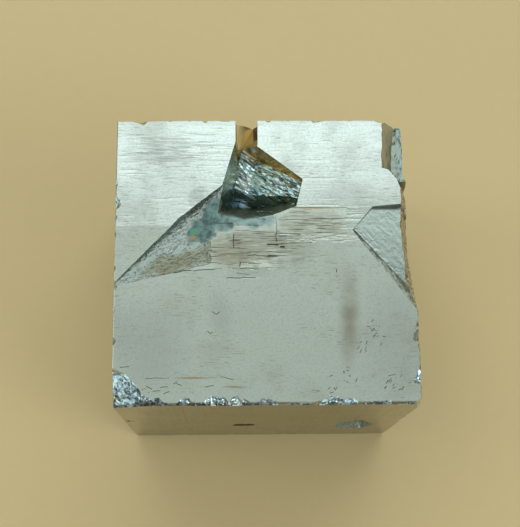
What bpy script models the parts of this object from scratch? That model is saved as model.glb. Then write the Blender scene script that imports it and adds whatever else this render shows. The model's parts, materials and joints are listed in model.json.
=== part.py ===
"""A natural pyrite cube: one crystal with striated growth faces, a contact
hollow that opens through its back edge, a broken trough, a flake scar, a
spalled corner and chipped edges.

Units in the constants are millimetres. +Z is up, the front face looks along
-Y, and the origin is the middle of the face that the cube rests on.
"""
import math
import random

import bmesh
import bpy
from mathutils import Matrix, Vector, noise

MM = 0.001

# Driving dimensions of the crystal.
WIDTH = 50.0            # along X
DEPTH = 48.6            # along Y
HEIGHT = 50.0           # along Z
RIGHT = WIDTH / 2
LEFT = -RIGHT
BACK = DEPTH / 2
FRONT = -BACK
TOP = HEIGHT
OVER = 1.5              # how far a cutter stands out of the face that it cuts

# The contact hollow, by the corners of its rim in the top face (x, y).
RIM_LEFT_BACK = (-4.93, 20.7)
RIM_LEFT_FRONT = (-7.3, 12.4)
RIM_LEFT_END = (-8.1, 7.7)
RIM_RIGHT_BACK = (-1.14, 19.61)
RIM_RIGHT_CORNER = (6.4, 13.75)
RIM_RIGHT_FRONT = (5.25, 8.98)
RIM_FRONT_RIGHT = (1.3, 7.35)
RIM_FRONT_LEFT = (-3.4, 6.5)
CONTACT_WALL = 85.0     # slope of its smooth walls
NEAR_WALL = 66.0        # slope of the wall under its front rim
# Points in space on its floor: the groove's mouth in the back face, the neck
# where the groove ends, and the corners of the rough floor.
GROOVE_MOUTH = (-1.84, BACK, 44.4)
GROOVE_NECK = (-3.2, 21.75, 45.0)
SHELF_BACK = (-4.5, BACK, 47.5)
FLOOR_BACK = (-4.13, 21.6, 45.8)
FLOOR_DIP = (-1.1, 19.1, 43.7)
FLOOR_LEFT = (-6.1, 14.3, 43.6)
FLOOR_RIGHT = (5.8, 13.9, 48.6)
FLOOR_FRONT = (3.9, 10.2, 46.3)
POCKET_LIP_LEFT = (-5.5, 13.6)
POCKET_LIP_RIGHT = (3.2, 10.2)
POCKET_WALL = 78.0
POCKET_BED = 38.0       # height of the deepest part
FLOOR_GRAIN = 0.45      # how far the broken ridges of the floor stand up

# The trough that runs from the hollow to the left edge (x, y).
TROUGH_RIM = ((-7.3, 12.7), (-14.2, 7.2), (-25.6, -4.7))
TROUGH_EDGE = ((-25.6, -4.8), (-12.2, -1.7))
TROUGH_END = ((-5.6, 8.0), (-8.2, -1.7))
TROUGH_END_SLOPE = 13.0
TROUGH_DEPTH = 1.7

# The flake scar and the spall on the right, by its outline (x, y).
SCAR_LEFT = (14.1, 4.3)
SCAR_BACK = (18.0, 8.9)
SCAR_BACK_RIGHT = (25.5, 9.6)
SCAR_FRONT = (18.4, -0.4)
SCAR_FRONT_RIGHT = (24.4, -8.3)
SCAR_DIP = 9.5          # degrees down towards the right
SPALL_TOP = (22.5, 9.0)
SPALL_TURN = (22.9, -4.0)
SPALL_LOW = 40.0        # height at which the spall runs out on the right face

# The notch in the back right corner.
NOTCH_SIDE = 19.9
NOTCH_SIDE_SLOPE = 58.0
NOTCH_LEDGE = (22.1, 20.0, 46.4)
NOTCH_LEDGE_DIP = 12.0
NOTCH_LIP = 23.6        # where the broken lip of the ledge would meet the top face
SHOULDER = ((22.8, 10.6), (21.0, 15.9))

# The crushed front left corner.
CRUSH_LINE = ((-25.3, -17.4), (-18.6, -24.5))
CRUSH_SLOPE = 34.0

EDGE_WEAR = 0.12        # bevel of the long edges
SLIVER = 0.012          # edges shorter than this are closed up


def clear_scene():
    for old in list(bpy.data.objects):
        bpy.data.objects.remove(old, do_unlink=True)


def new_collection(name):
    made = bpy.data.collections.new(name)
    bpy.context.scene.collection.children.link(made)
    return made


def finish(bm, name, collection):
    """Put a mesh worked in millimetres into the scene, in metres."""
    bmesh.ops.triangulate(bm, faces=bm.faces[:])
    bmesh.ops.recalc_face_normals(bm, faces=bm.faces[:])
    bmesh.ops.scale(bm, vec=(MM, MM, MM), verts=bm.verts[:])
    mesh = bpy.data.meshes.new(name)
    bm.to_mesh(mesh)
    bm.free()
    made = bpy.data.objects.new(name, mesh)
    collection.objects.link(made)
    return made


def finish_cutter(bm, name, collection):
    made = finish(bm, name, collection)
    made.hide_render = True
    made.display_type = 'WIRE'
    return made


def box(low, high):
    """A block between two corners."""
    low, high = Vector(low), Vector(high)
    bm = bmesh.new()
    bmesh.ops.create_cube(bm, size=1.0)
    bmesh.ops.scale(bm, vec=high - low, verts=bm.verts[:])
    bmesh.ops.translate(bm, vec=(low + high) / 2, verts=bm.verts[:])
    return bm


def keep_side(bm, point, normal):
    """Cut a block flat and keep what lies on the side that normal points to."""
    cut = bmesh.ops.bisect_plane(
        bm, geom=bm.verts[:] + bm.edges[:] + bm.faces[:], dist=1e-5,
        plane_co=point, plane_no=normal, clear_inner=True)
    edges = [part for part in cut["geom_cut"] if isinstance(part, bmesh.types.BMEdge)]
    if len(edges) > 2:
        bmesh.ops.contextual_create(bm, geom=edges)


def keep_inside_wall(bm, start, end, slope, top=TOP):
    """Bound a cutter by a wall that goes down from the rim line start to end.

    The hollow is on the right hand of someone who walks from start to end.
    """
    along = Vector((end[0] - start[0], end[1] - start[1], 0.0)).normalized()
    inward = Vector((along.y, -along.x, 0.0))
    tilt = math.radians(slope)
    normal = inward * math.sin(tilt) + Vector((0, 0, math.cos(tilt)))
    keep_side(bm, Vector((start[0], start[1], top)), normal)


def keep_above(bm, first, second, third):
    """Bound a cutter below by the plane through three points."""
    first, second, third = Vector(first), Vector(second), Vector(third)
    normal = (second - first).cross(third - first).normalized()
    if normal.z < 0:
        normal.negate()
    keep_side(bm, first, normal)


def slice_up(bm, direction, step, low, high):
    """Part the faces of a block along evenly spaced planes."""
    direction = Vector(direction).normalized()
    count = int((high - low) / step)
    for index in range(1, count):
        place = direction * (low + index * step)
        bmesh.ops.bisect_plane(
            bm, geom=bm.verts[:] + bm.edges[:] + bm.faces[:], dist=1e-5,
            plane_co=place, plane_no=direction)


def ridges(point, along, across_size, along_size, seed):
    """A value from -1 to 1 that changes quickly across and slowly along."""
    along = Vector(along).normalized()
    across = Vector((-along.y, along.x, 0.0))
    place = Vector((point.dot(across) / across_size, point.dot(along) / along_size,
                    point.z / across_size * 0.3 + seed))
    return 0.65 * noise.noise(place) + 0.35 * noise.noise(place * 2.3)


def make_crystal_block():
    """The ideal cube, with its long edges a little worn."""
    bm = box((LEFT, FRONT, 0.0), (RIGHT, BACK, TOP))
    bmesh.ops.bevel(bm, geom=bm.edges[:], offset=EDGE_WEAR, segments=1,
                    profile=0.5, affect='EDGES', material=-1)
    return bm


def make_notch_groove(cutters):
    """The smooth groove through which the hollow opens in the back face."""
    bm = box((-7.0, 17.0, 40.0), (1.0, BACK + OVER, TOP + OVER))
    corner = (*RIM_RIGHT_BACK, TOP)
    keep_inside_wall(bm, (RIM_LEFT_BACK[0], 19.0), (RIM_LEFT_BACK[0], BACK + OVER), CONTACT_WALL)
    keep_above(bm, corner, (RIM_RIGHT_BACK[0], BACK, TOP), GROOVE_MOUTH)
    keep_above(bm, corner, GROOVE_MOUTH, GROOVE_NECK)
    keep_above(bm, GROOVE_MOUTH, GROOVE_NECK, SHELF_BACK)
    return [finish_cutter(bm, "groove_cutter", cutters)]


def bound_by_front_rim(bm):
    """The walls that the hollow and its pocket share: right, front and left."""
    keep_inside_wall(bm, RIM_RIGHT_CORNER, RIM_RIGHT_FRONT, CONTACT_WALL)
    keep_inside_wall(bm, RIM_RIGHT_FRONT, RIM_FRONT_RIGHT, NEAR_WALL)
    keep_inside_wall(bm, RIM_FRONT_RIGHT, RIM_FRONT_LEFT, NEAR_WALL)
    keep_inside_wall(bm, RIM_FRONT_LEFT, RIM_LEFT_END, NEAR_WALL)
    keep_inside_wall(bm, RIM_LEFT_END, RIM_LEFT_FRONT, CONTACT_WALL)


def make_hollow(cutters):
    """The hollow: smooth contact walls over a broken, ridged floor."""
    bm = box((-9.0, 5.0, 38.0), (8.0, 23.4, TOP + OVER))
    keep_inside_wall(bm, RIM_LEFT_FRONT, RIM_LEFT_BACK, CONTACT_WALL)
    keep_inside_wall(bm, RIM_RIGHT_BACK, RIM_RIGHT_CORNER, CONTACT_WALL)
    keep_side(bm, FLOOR_BACK, (0, -1, 0))
    bound_by_front_rim(bm)
    keep_above(bm, FLOOR_BACK, FLOOR_DIP, FLOOR_LEFT)
    keep_above(bm, FLOOR_DIP, FLOOR_RIGHT, FLOOR_FRONT)
    along = Vector((0.82, -0.57, 0.0))
    across = Vector((0.57, 0.82, 0.0))
    slice_up(bm, across, 0.7, 3.0, 19.0)
    slice_up(bm, along, 1.9, -14.0, 4.0)
    for vert in bm.verts:
        if vert.co.z < TOP - 0.6:
            vert.co.z += FLOOR_GRAIN * ridges(vert.co, along, 0.9, 3.5, 4.0)
    return [finish_cutter(bm, "hollow_cutter", cutters)]


def make_pocket(cutters):
    """The deep pocket between the floor's lip and the front rim."""
    bm = box((-9.0, 5.0, 34.0), (8.0, 16.0, TOP + OVER))
    bound_by_front_rim(bm)
    keep_inside_wall(bm, POCKET_LIP_LEFT, POCKET_LIP_RIGHT, POCKET_WALL, top=43.0)
    keep_side(bm, (0.0, 12.0, POCKET_BED), Vector((0.1, 0.15, 1.0)).normalized())
    slice_up(bm, (1, 0, 0), 1.4, -9.0, 8.0)
    slice_up(bm, (0, 0, 1), 1.6, 34.0, 49.0)
    for vert in bm.verts:
        if vert.co.z < TOP - 0.6:
            wave = ridges(vert.co, (1, 0, 0), 1.3, 2.4, 11.0)
            vert.co.y += 0.4 * wave
            vert.co.x += 0.2 * wave
    return [finish_cutter(bm, "pocket_cutter", cutters)]


def make_trough(cutters):
    """The broken trough, steep at its back rim and feathered at its front edge."""
    bm = box((-27.0, -7.0, TOP - 4.0), (-4.0, 15.0, TOP + OVER))
    tip, middle, mouth = TROUGH_RIM[2], TROUGH_RIM[1], TROUGH_RIM[0]
    keep_inside_wall(bm, tip, middle, 52.0)
    keep_inside_wall(bm, middle, mouth, 58.0)
    keep_inside_wall(bm, TROUGH_END[0], TROUGH_END[1], TROUGH_END_SLOPE)
    keep_inside_wall(bm, TROUGH_EDGE[1], TROUGH_EDGE[0], 70.0)
    keep_above(bm, (*TROUGH_EDGE[0], TOP - 0.25), (*TROUGH_EDGE[1], TOP - 0.35),
               (*middle, TOP - TROUGH_DEPTH))
    slice_up(bm, (0.70, 0.71, 0), 1.3, -22.0, 8.0)
    slice_up(bm, (-0.71, 0.70, 0), 0.95, 4.0, 17.0)
    for vert in bm.verts:
        if vert.co.z < TOP + 0.1:
            rough = min(1.0, (TOP + 0.1 - vert.co.z) / 1.2)
            wave = ridges(vert.co, (0.8, 0.6, 0), 1.5, 2.6, 21.0)
            vert.co += Vector((0.25, -0.25, 0.34)) * wave * rough
    return [finish_cutter(bm, "trough_cutter", cutters)]


def make_flake_scar(cutters):
    """The shallow scar of a lost flake, which dips towards the right face."""
    bm = box((12.0, -11.0, TOP - 5.0), (RIGHT + OVER, 11.0, TOP + OVER))
    keep_inside_wall(bm, SCAR_LEFT, SCAR_BACK, 66.0)
    keep_inside_wall(bm, SCAR_BACK, SCAR_BACK_RIGHT, 76.0)
    keep_inside_wall(bm, SCAR_FRONT_RIGHT, SCAR_FRONT, 38.0)
    dip = math.radians(SCAR_DIP)
    keep_side(bm, (SCAR_LEFT[0], SCAR_LEFT[1], TOP - 0.2),
              Vector((math.sin(dip), 0.03, math.cos(dip))).normalized())
    slice_up(bm, (0.62, -0.78, 0), 1.2, 2.0, 26.0)
    slice_up(bm, (0.78, 0.62, 0), 1.2, 6.0, 26.0)
    for vert in bm.verts:
        if vert.co.z < TOP + 0.1:
            wave = ridges(vert.co, (0.62, -0.78, 0), 1.4, 2.8, 33.0)
            vert.co += Vector((0.2, 0.12, 0.16)) * wave
    return [finish_cutter(bm, "scar_cutter", cutters)]


def make_spall(cutters):
    """The broken top right edge, which runs out lower on the right face."""
    bm = box((19.0, -14.0, SPALL_LOW - 6.0), (RIGHT + OVER, 17.0, TOP + OVER))
    slope = math.degrees(math.atan2(TOP - SPALL_LOW, RIGHT - SPALL_TOP[0]))
    keep_inside_wall(bm, SPALL_TURN, SPALL_TOP, slope)
    keep_inside_wall(bm, (25.4, -10.8), SPALL_TURN, 66.0)
    slice_up(bm, (0, 1, 0), 1.7, -14.0, 17.0)
    slice_up(bm, (0, 0, 1), 1.9, SPALL_LOW - 6.0, TOP + OVER)
    for vert in bm.verts:
        if vert.co.x < RIGHT + 0.6:
            vert.co.x += 0.42 * ridges(vert.co, (0, 1, 0), 1.9, 3.0, 44.0)
    return [finish_cutter(bm, "spall_cutter", cutters)]


def make_corner_notch(cutters):
    """The stepped notch in the back right corner and the worn edge beside it."""
    notch = box((18.0, 12.0, 36.0), (RIGHT + OVER, BACK + OVER, TOP + OVER))
    keep_inside_wall(notch, (NOTCH_SIDE, 12.0), (NOTCH_SIDE + 0.4, BACK), NOTCH_SIDE_SLOPE)
    keep_inside_wall(notch, (25.5, 15.1), (20.0, 15.9), 82.0)
    dip = math.radians(NOTCH_LEDGE_DIP)
    keep_side(notch, NOTCH_LEDGE, Vector((math.sin(dip), 0.08, math.cos(dip))).normalized())
    shoulder = box((19.5, 9.0, 38.0), (RIGHT + OVER, 18.0, TOP + OVER))
    keep_inside_wall(shoulder, SHOULDER[0], SHOULDER[1], 77.0)
    keep_inside_wall(shoulder, (25.5, 10.0), SHOULDER[0], 70.0)
    lip = box((21.0, 12.0, 34.0), (RIGHT + OVER, BACK + OVER, TOP + OVER))
    keep_inside_wall(lip, (NOTCH_LIP, 12.0), (NOTCH_LIP, BACK), 80.0)
    made = []
    for name, bm, seed in (("notch_cutter", notch, 51.0), ("shoulder_cutter", shoulder, 57.0),
                           ("lip_cutter", lip, 59.0)):
        slice_up(bm, (0, 1, 0), 1.9, 9.0, 26.0)
        slice_up(bm, (1, 0, 0), 1.3, 18.0, 26.5)
        slice_up(bm, (0, 0, 1), 2.0, 36.0, 51.0)
        for vert in bm.verts:
            if vert.co.z < TOP + 0.1:
                wave = ridges(vert.co, (0, 1, 0), 1.6, 3.2, seed)
                vert.co += Vector((0.22, 0.1, 0.25)) * wave
        made.append(finish_cutter(bm, name, cutters))
    return made


def make_crushed_corner(cutters):
    """The crushed front left corner: a slope of small broken facets."""
    bm = box((LEFT - OVER, FRONT - OVER, TOP - 9.0), (-17.0, -15.0, TOP + OVER))
    keep_inside_wall(bm, CRUSH_LINE[0], CRUSH_LINE[1], CRUSH_SLOPE)
    slice_up(bm, (0.69, -0.73, 0), 1.0, -6.0, 7.0)
    slice_up(bm, (0.73, 0.69, 0), 1.0, -38.0, -26.0)
    for vert in bm.verts:
        if vert.co.z < TOP + 0.1:
            vert.co.z += 0.55 * ridges(vert.co, (0.69, -0.73, 0), 1.3, 1.6, 63.0)
    return [finish_cutter(bm, "crushed_corner_cutter", cutters)]


class Face:
    """A face of the cube: its middle, outward normal and the run of its striae."""

    def __init__(self, name, middle, normal, along):
        self.name = name
        self.middle = Vector(middle)
        self.normal = Vector(normal)
        self.along = Vector(along)
        self.across = self.normal.cross(self.along)

    def place(self, along, across, out):
        return self.middle + self.along * along + self.across * across + self.normal * out


HALF_UP = TOP / 2
FACES = {
    "top": Face("top", (0, 0, TOP), (0, 0, 1), (1, 0, 0)),
    "bottom": Face("bottom", (0, 0, 0), (0, 0, -1), (1, 0, 0)),
    "front": Face("front", (0, FRONT, HALF_UP), (0, -1, 0), (0, 0, 1)),
    "back": Face("back", (0, BACK, HALF_UP), (0, 1, 0), (0, 0, 1)),
    "right": Face("right", (RIGHT, 0, HALF_UP), (1, 0, 0), (0, 1, 0)),
    "left": Face("left", (LEFT, 0, HALF_UP), (-1, 0, 0), (0, 1, 0)),
}


def terrace(face, along_range, across_range, depth_start, depth_end, number, cutters):
    """Shave a strip off a face; its depth changes evenly across the striae."""
    bm = bmesh.new()
    bmesh.ops.create_cube(bm, size=1.0)
    out = OVER + 0.01 * number
    for vert in bm.verts:
        far = vert.co.y > 0
        depth = depth_end if far else depth_start
        vert.co = face.place(along_range[vert.co.x > 0], across_range[far],
                             out if vert.co.z > 0 else -depth)
    return finish_cutter(bm, f"terrace_{face.name}_{number}_cutter", cutters)


# Growth steps on the top face: x from, x to, y from, y to, and the depth in
# millimetres at each of the two y values.
TOP_STEPS = (
    (-13.6, -5.4, 1.7, 6.2, 0.42, 0.56),
    (-12.6, -4.3, -1.75, 1.9, 0.22, 0.34),
    (-5.9, 2.0, 4.5, 8.4, 0.34, 0.46),
    (-5.8, 2.35, 2.25, 4.7, 0.27, 0.23),
    (-4.8, 0.4, -0.6, 2.4, 0.10, 0.15),
    (-6.4, 0.35, -3.15, -1.6, 0.14, 0.10),
    (1.6, 3.55, 1.75, 3.9, 0.26, 0.20),
    (1.9, 13.7, 7.0, 8.75, 0.13, 0.17),
    (1.8, 11.2, 5.6, 7.1, 0.09, 0.12),
    (1.8, 8.4, 4.2, 5.7, 0.06, 0.09),
    (-25.5, -16.9, 5.6, 15.2, 0.04, 0.14),
    (-25.5, -8.5, 15.3, 19.4, 0.06, 0.14),
    (-25.5, -9.5, 19.3, 21.6, 0.10, 0.14),
    (7.0, 19.0, 18.2, 19.6, 0.08, 0.12),
    (8.4, 25.5, 10.4, 12.6, 0.05, 0.09),
    (-16.5, -7.6, -20.4, -19.5, 0.08, 0.06),
    (-6.9, -2.4, -21.9, -21.1, 0.09, 0.06),
)


def make_top_steps(cutters):
    return [terrace(FACES["top"], step[0:2], step[2:4], step[4], step[5], number, cutters)
            for number, step in enumerate(TOP_STEPS)]


# Large steps on the other faces, in each face's own along and across.
SIDE_STEPS = {
    "front": ((-25.5, -13.0, 6.0, 25.5, 0.22, 0.16), (8.0, 25.5, -25.5, -15.0, 0.10, 0.20)),
    "back": ((-25.5, 2.5, -25.5, -9.0, 0.30, 0.42), (-25.5, -12.0, -9.5, 4.0, 0.16, 0.24)),
    "right": ((-24.8, 3.0, -25.5, -12.0, 0.34, 0.26), (-24.8, 14.0, -12.4, -6.0, 0.20, 0.12)),
    "left": ((2.0, 24.8, 9.0, 25.5, 0.24, 0.38), (-9.0, 24.8, 3.0, 9.4, 0.10, 0.22)),
    "bottom": ((-25.5, -7.0, 12.0, 24.8, 0.16, 0.26), (11.0, 25.5, -24.8, -14.0, 0.20, 0.12)),
}
FINE_STEPS = 7          # smaller steps on each of those faces


def make_side_steps(cutters):
    """Growth steps on the five other faces, a few large and some small ones."""
    rng = random.Random(17)
    made = []
    for name, steps in SIDE_STEPS.items():
        face = FACES[name]
        rows = list(steps)
        for _ in range(FINE_STEPS):
            length = rng.uniform(7.0, 26.0)
            width = rng.uniform(0.9, 3.2)
            start = rng.choice((-25.5, 25.5 - length, rng.uniform(-22.0, 22.0 - length)))
            side = rng.uniform(6.0, 20.0) * rng.choice((-1, 1))
            deep = rng.uniform(0.07, 0.2)
            rows.append((start, start + length, side, side + width, deep, deep * 0.2))
        for number, row in enumerate(rows):
            made.append(terrace(face, row[0:2], row[2:4], row[4], row[5], number, cutters))
    return made


def chip(name, place, first, second, length, depth, lean, seed, cutters):
    """Break a piece off an edge, between faces whose normals are first and second.

    lean below 0.5 lays the break towards the first face.
    """
    first, second, place = Vector(first), Vector(second), Vector(place)
    axis = first.cross(second)
    out = (first * (1.0 - lean) + second * lean).normalized()
    side = axis.cross(out)
    reach = depth * 4.0 + 1.0
    bm = bmesh.new()
    bmesh.ops.create_cube(bm, size=1.0)
    for vert in bm.verts:
        vert.co = (place + axis * vert.co.x * (length + 2.0) + side * vert.co.y * reach * 2.0
                   + out * (vert.co.z * reach + reach * 0.5 - depth))
    rng = random.Random(seed)
    for sign in (-1, 1):
        end = place + axis * sign * length * 0.5
        keep_side(bm, end, (out * rng.uniform(0.5, 0.9) - axis * sign).normalized())
    keep_side(bm, place - out * depth * 0.75, (out + axis * rng.uniform(-0.3, 0.3)
                                               + side * rng.uniform(-0.5, 0.5)).normalized())
    slice_up(bm, axis, 0.8, place.dot(axis) - length, place.dot(axis) + length)
    for vert in bm.verts:
        wave = ridges(vert.co, axis, 0.9, 1.2, seed * 0.37)
        vert.co += out * wave * min(0.3, depth * 0.4)
    return finish_cutter(bm, name, cutters)


X, Y, Z = Vector((1, 0, 0)), Vector((0, 1, 0)), Vector((0, 0, 1))

# Chips that stand out: place, the two faces' normals, length, depth and lean.
CHIPS = (
    ("front_a", (-12.7, FRONT, TOP), Z, -Y, 1.9, 0.75, 0.45),
    ("front_b", (-8.3, FRONT, TOP), Z, -Y, 3.2, 0.8, 0.42),
    ("front_c", (-5.9, FRONT, TOP), Z, -Y, 3.0, 1.25, 0.55),
    ("front_d", (0.9, FRONT, TOP), Z, -Y, 3.9, 0.75, 0.62),
    ("front_e", (9.0, FRONT, TOP), Z, -Y, 3.6, 0.55, 0.30),
    ("front_f", (12.4, FRONT, TOP), Z, -Y, 3.9, 0.95, 0.22),
    ("front_g", (18.0, FRONT, TOP), Z, -Y, 3.0, 0.4, 0.4),
    ("front_right", (RIGHT, FRONT, TOP), X, -Y, 4.0, 0.9, 0.5),
    ("right_a", (RIGHT, -12.6, TOP), X, Z, 4.2, 0.8, 0.5),
    ("right_b", (RIGHT, -20.2, TOP), X, Z, 3.2, 0.7, 0.6),
    ("back_a", (-20.9, BACK, TOP), Y, Z, 3.2, 1.1, 0.55),
    ("back_b", (-12.7, BACK, TOP), Y, Z, 1.2, 0.5, 0.5),
    ("back_c", (-10.0, BACK, TOP), Y, Z, 1.4, 0.7, 0.5),
    ("back_d", (-6.1, BACK, TOP), Y, Z, 1.3, 0.6, 0.5),
    ("back_e", (0.6, BACK, TOP), Y, Z, 2.0, 0.6, 0.5),
    ("back_f", (8.8, BACK, TOP), Y, Z, 2.4, 0.6, 0.5),
    ("left_a", (LEFT, -4.4, TOP), Z, -X, 1.8, 0.6, 0.5),
    ("corner_low", (-23.8, FRONT, 26.6), -X, -Y, 1.8, 0.8, 0.5),
    ("corner_right", (24.6, FRONT, 33.6), -Y, X, 2.2, 0.5, 0.5),
)
PLAIN_CHIPS = 15        # smaller breaks along the edges that show less


def make_chips(cutters):
    made = [chip(f"chip_{row[0]}_cutter", row[1], *row[2:7], 70 + number, cutters)
            for number, row in enumerate(CHIPS)]
    edges = (
        ((LEFT, 0, 0), -X, -Z), ((RIGHT, 0, 0), X, -Z), ((0, FRONT, 0), -Y, -Z),
        ((0, BACK, 0), Y, -Z), ((LEFT, BACK, HALF_UP), -X, Y), ((RIGHT, BACK, 20.0), X, Y),
        ((LEFT, FRONT, 20.0), -X, -Y), ((RIGHT, FRONT, 22.0), X, -Y), ((LEFT, 0, TOP), -X, Z),
    )
    rng = random.Random(29)
    for number in range(PLAIN_CHIPS):
        middle, first, second = edges[number % len(edges)]
        axis = first.cross(second)
        place = Vector(middle) + axis * rng.uniform(-19.0, 19.0)
        made.append(chip(f"chip_{number}_cutter", place, first, second,
                         rng.uniform(1.2, 4.2), rng.uniform(0.35, 1.0),
                         rng.uniform(0.3, 0.7), 200 + number, cutters))
    return made


# Shallow oval pits where other crystals touched: the face, the middle along
# and across the striae, half sizes along and across, and the depth.
PITS = (
    ("front", -6.5, -17.0, 8.6, 3.2, 1.1),
    ("front", -6.1, 3.4, 1.7, 2.3, 0.8),
    ("back", 8.0, 12.5, 3.4, 2.0, 0.8),
    ("left", -9.0, -6.0, 4.2, 2.6, 0.9),
    ("right", 12.0, -11.0, 2.6, 3.6, 0.7),
)


def make_pits(cutters):
    made = []
    for number, (name, along, across, half_along, half_across, depth) in enumerate(PITS):
        face = FACES[name]
        round_out = depth * 3.0
        spread = 1.0 / math.sqrt(1.0 - (1.0 - depth / round_out) ** 2)
        bm = bmesh.new()
        bmesh.ops.create_uvsphere(bm, u_segments=18, v_segments=12, radius=1.0)
        for vert in bm.verts:
            wave = 1.0 + 0.16 * noise.noise(vert.co * 2.2 + Vector((number, 0, 7.0)))
            vert.co = face.place(along + vert.co.x * half_along * spread * wave,
                                 across + vert.co.y * half_across * spread * wave,
                                 round_out - depth + vert.co.z * round_out * wave)
        made.append(finish_cutter(bm, f"pit_{number}_cutter", cutters))
    return made


def cut_away(crystal, cutters):
    """Take every cutter out of the crystal and clear the slivers that this leaves."""
    cut = crystal.modifiers.new("cut away", 'BOOLEAN')
    cut.operation = 'DIFFERENCE'
    cut.operand_type = 'COLLECTION'
    cut.collection = cutters
    cut.solver = 'EXACT'
    depsgraph = bpy.context.evaluated_depsgraph_get()
    mesh = bpy.data.meshes.new_from_object(crystal.evaluated_get(depsgraph))
    crystal.modifiers.remove(cut)
    bm = bmesh.new()
    bm.from_mesh(mesh)
    bmesh.ops.triangulate(bm, faces=bm.faces[:])
    bmesh.ops.dissolve_degenerate(bm, dist=SLIVER * MM, edges=bm.edges[:])
    bmesh.ops.remove_doubles(bm, verts=bm.verts[:], dist=SLIVER * MM)
    bmesh.ops.triangulate(bm, faces=bm.faces[:])
    bm.to_mesh(mesh)
    bm.free()
    crystal.data = mesh


def make_material():
    """Pale brassy metal."""
    material = bpy.data.materials.new("pyrite")
    material.use_nodes = True
    shader = material.node_tree.nodes["Principled BSDF"]
    shader.inputs["Base Color"].default_value = (0.60, 0.58, 0.48, 1.0)
    shader.inputs["Metallic"].default_value = 1.0
    shader.inputs["Roughness"].default_value = 0.32
    return material


def main():
    clear_scene()
    parts = new_collection("pyrite cube")
    cutters = new_collection("cutters")
    crystal = finish(make_crystal_block(), "pyrite_cube", parts)
    crystal.data.materials.append(make_material())

    make_notch_groove(cutters)
    make_hollow(cutters)
    make_pocket(cutters)
    make_trough(cutters)
    make_flake_scar(cutters)
    make_spall(cutters)
    make_corner_notch(cutters)
    make_crushed_corner(cutters)
    make_top_steps(cutters)
    make_side_steps(cutters)
    make_pits(cutters)
    make_chips(cutters)

    cut_away(crystal, cutters)
    cutters.hide_render = True
    return crystal


main()
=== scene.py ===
# %% [markdown]
# # A pyrite cube
#
# Pyrite, iron sulphide, is a heavy brass-coloured mineral that grows in cubes. Each
# face carries fine parallel lines, the striae: they are tiny steps where the crystal
# could not decide between a cube and another form. This one has a hollow where a
# neighbouring crystal once stood in its way, and it has been knocked: a trough and a
# lost flake are old breaks, a spalled edge has since stained, and a crushed corner
# still shows bright metal.
#
# The crystal is one piece, so the whole lesson makes one mesh. It grows in the order
# that nature used: first the striated block, then everything that is missing from it,
# taken away with one Boolean, and last the metal itself.

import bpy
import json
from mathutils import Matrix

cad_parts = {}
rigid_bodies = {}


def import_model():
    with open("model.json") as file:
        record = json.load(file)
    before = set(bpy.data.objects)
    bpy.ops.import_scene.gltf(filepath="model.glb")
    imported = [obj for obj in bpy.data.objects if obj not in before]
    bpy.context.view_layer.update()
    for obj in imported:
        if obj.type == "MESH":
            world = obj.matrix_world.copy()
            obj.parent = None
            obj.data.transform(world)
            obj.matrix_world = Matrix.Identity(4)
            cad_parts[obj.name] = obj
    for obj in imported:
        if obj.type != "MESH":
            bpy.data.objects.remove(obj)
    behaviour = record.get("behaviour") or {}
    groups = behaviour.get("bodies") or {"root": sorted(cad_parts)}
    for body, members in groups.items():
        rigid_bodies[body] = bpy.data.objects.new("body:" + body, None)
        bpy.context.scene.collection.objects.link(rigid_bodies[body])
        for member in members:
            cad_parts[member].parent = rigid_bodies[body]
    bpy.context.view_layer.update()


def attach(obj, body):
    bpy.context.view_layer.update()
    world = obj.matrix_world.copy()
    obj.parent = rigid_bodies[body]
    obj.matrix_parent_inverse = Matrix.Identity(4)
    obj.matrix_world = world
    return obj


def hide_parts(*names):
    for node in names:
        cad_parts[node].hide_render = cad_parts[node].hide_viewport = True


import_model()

# %% The tools of the lesson
import json
import math
import random

import bmesh
import bpy
import numpy as np
from mathutils import Matrix, Vector, noise

MM = 0.001
scene = bpy.context.scene

# %% [markdown]
# ## The camera
#
# The crystal is looked at from above, a little from the front, and from close by, so
# its front face tapers away quickly under the top one. A real camera at about 19 cm
# does that, and a lens of 80 mm on a 36 mm sensor frames the crystal with some floor
# round it. The three turns are the tilt, the heading and the roll of a hand-held
# camera; they are kept apart so that each can be read.

# %% Camera
HEADING, TILT, ROLL = (math.radians(a) for a in (-6.06, 13.78, 5.65))
STAND = (-0.0058, -0.0465, 0.23695)     # in metres
FOCAL_LENGTH, SENSOR_WIDTH = 79.56, 36.0

lens = bpy.data.cameras.new("camera")
lens.lens = FOCAL_LENGTH
lens.sensor_width = SENSOR_WIDTH
lens.clip_start = 0.01
camera = bpy.data.objects.new("camera", lens)
scene.collection.objects.link(camera)
camera.matrix_world = (Matrix.Translation(STAND)
                       @ Matrix.Rotation(HEADING, 4, 'Z') @ Matrix.Rotation(TILT, 4, 'X')
                       @ Matrix.Rotation(ROLL, 4, 'Z'))
scene.camera = camera
print("camera stands", round(camera.location.z * 1000 - 50), "mm above the top face")

# %% [markdown]
# ## The sizes
#
# All sizes are in millimetres, as a collector would measure them, and are turned into
# metres when a mesh is finished. The crystal rests on the floor, so its bottom is at
# height 0 and its top face at 50. A break is best described by where its rim runs in
# the top face, as points of (x, y), with the slope of the wall that goes down from it.

# %% Sizes of the crystal
WIDTH, DEPTH, HEIGHT = 50.0, 48.6, 50.0
RIGHT, BACK, TOP = WIDTH / 2, DEPTH / 2, HEIGHT
LEFT, FRONT, HALF_UP = -RIGHT, -BACK, HEIGHT / 2
OVER = 1.5              # how far a cutter stands out of the face that it cuts
EDGE_WEAR = 0.16        # how far the long edges are worn

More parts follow.
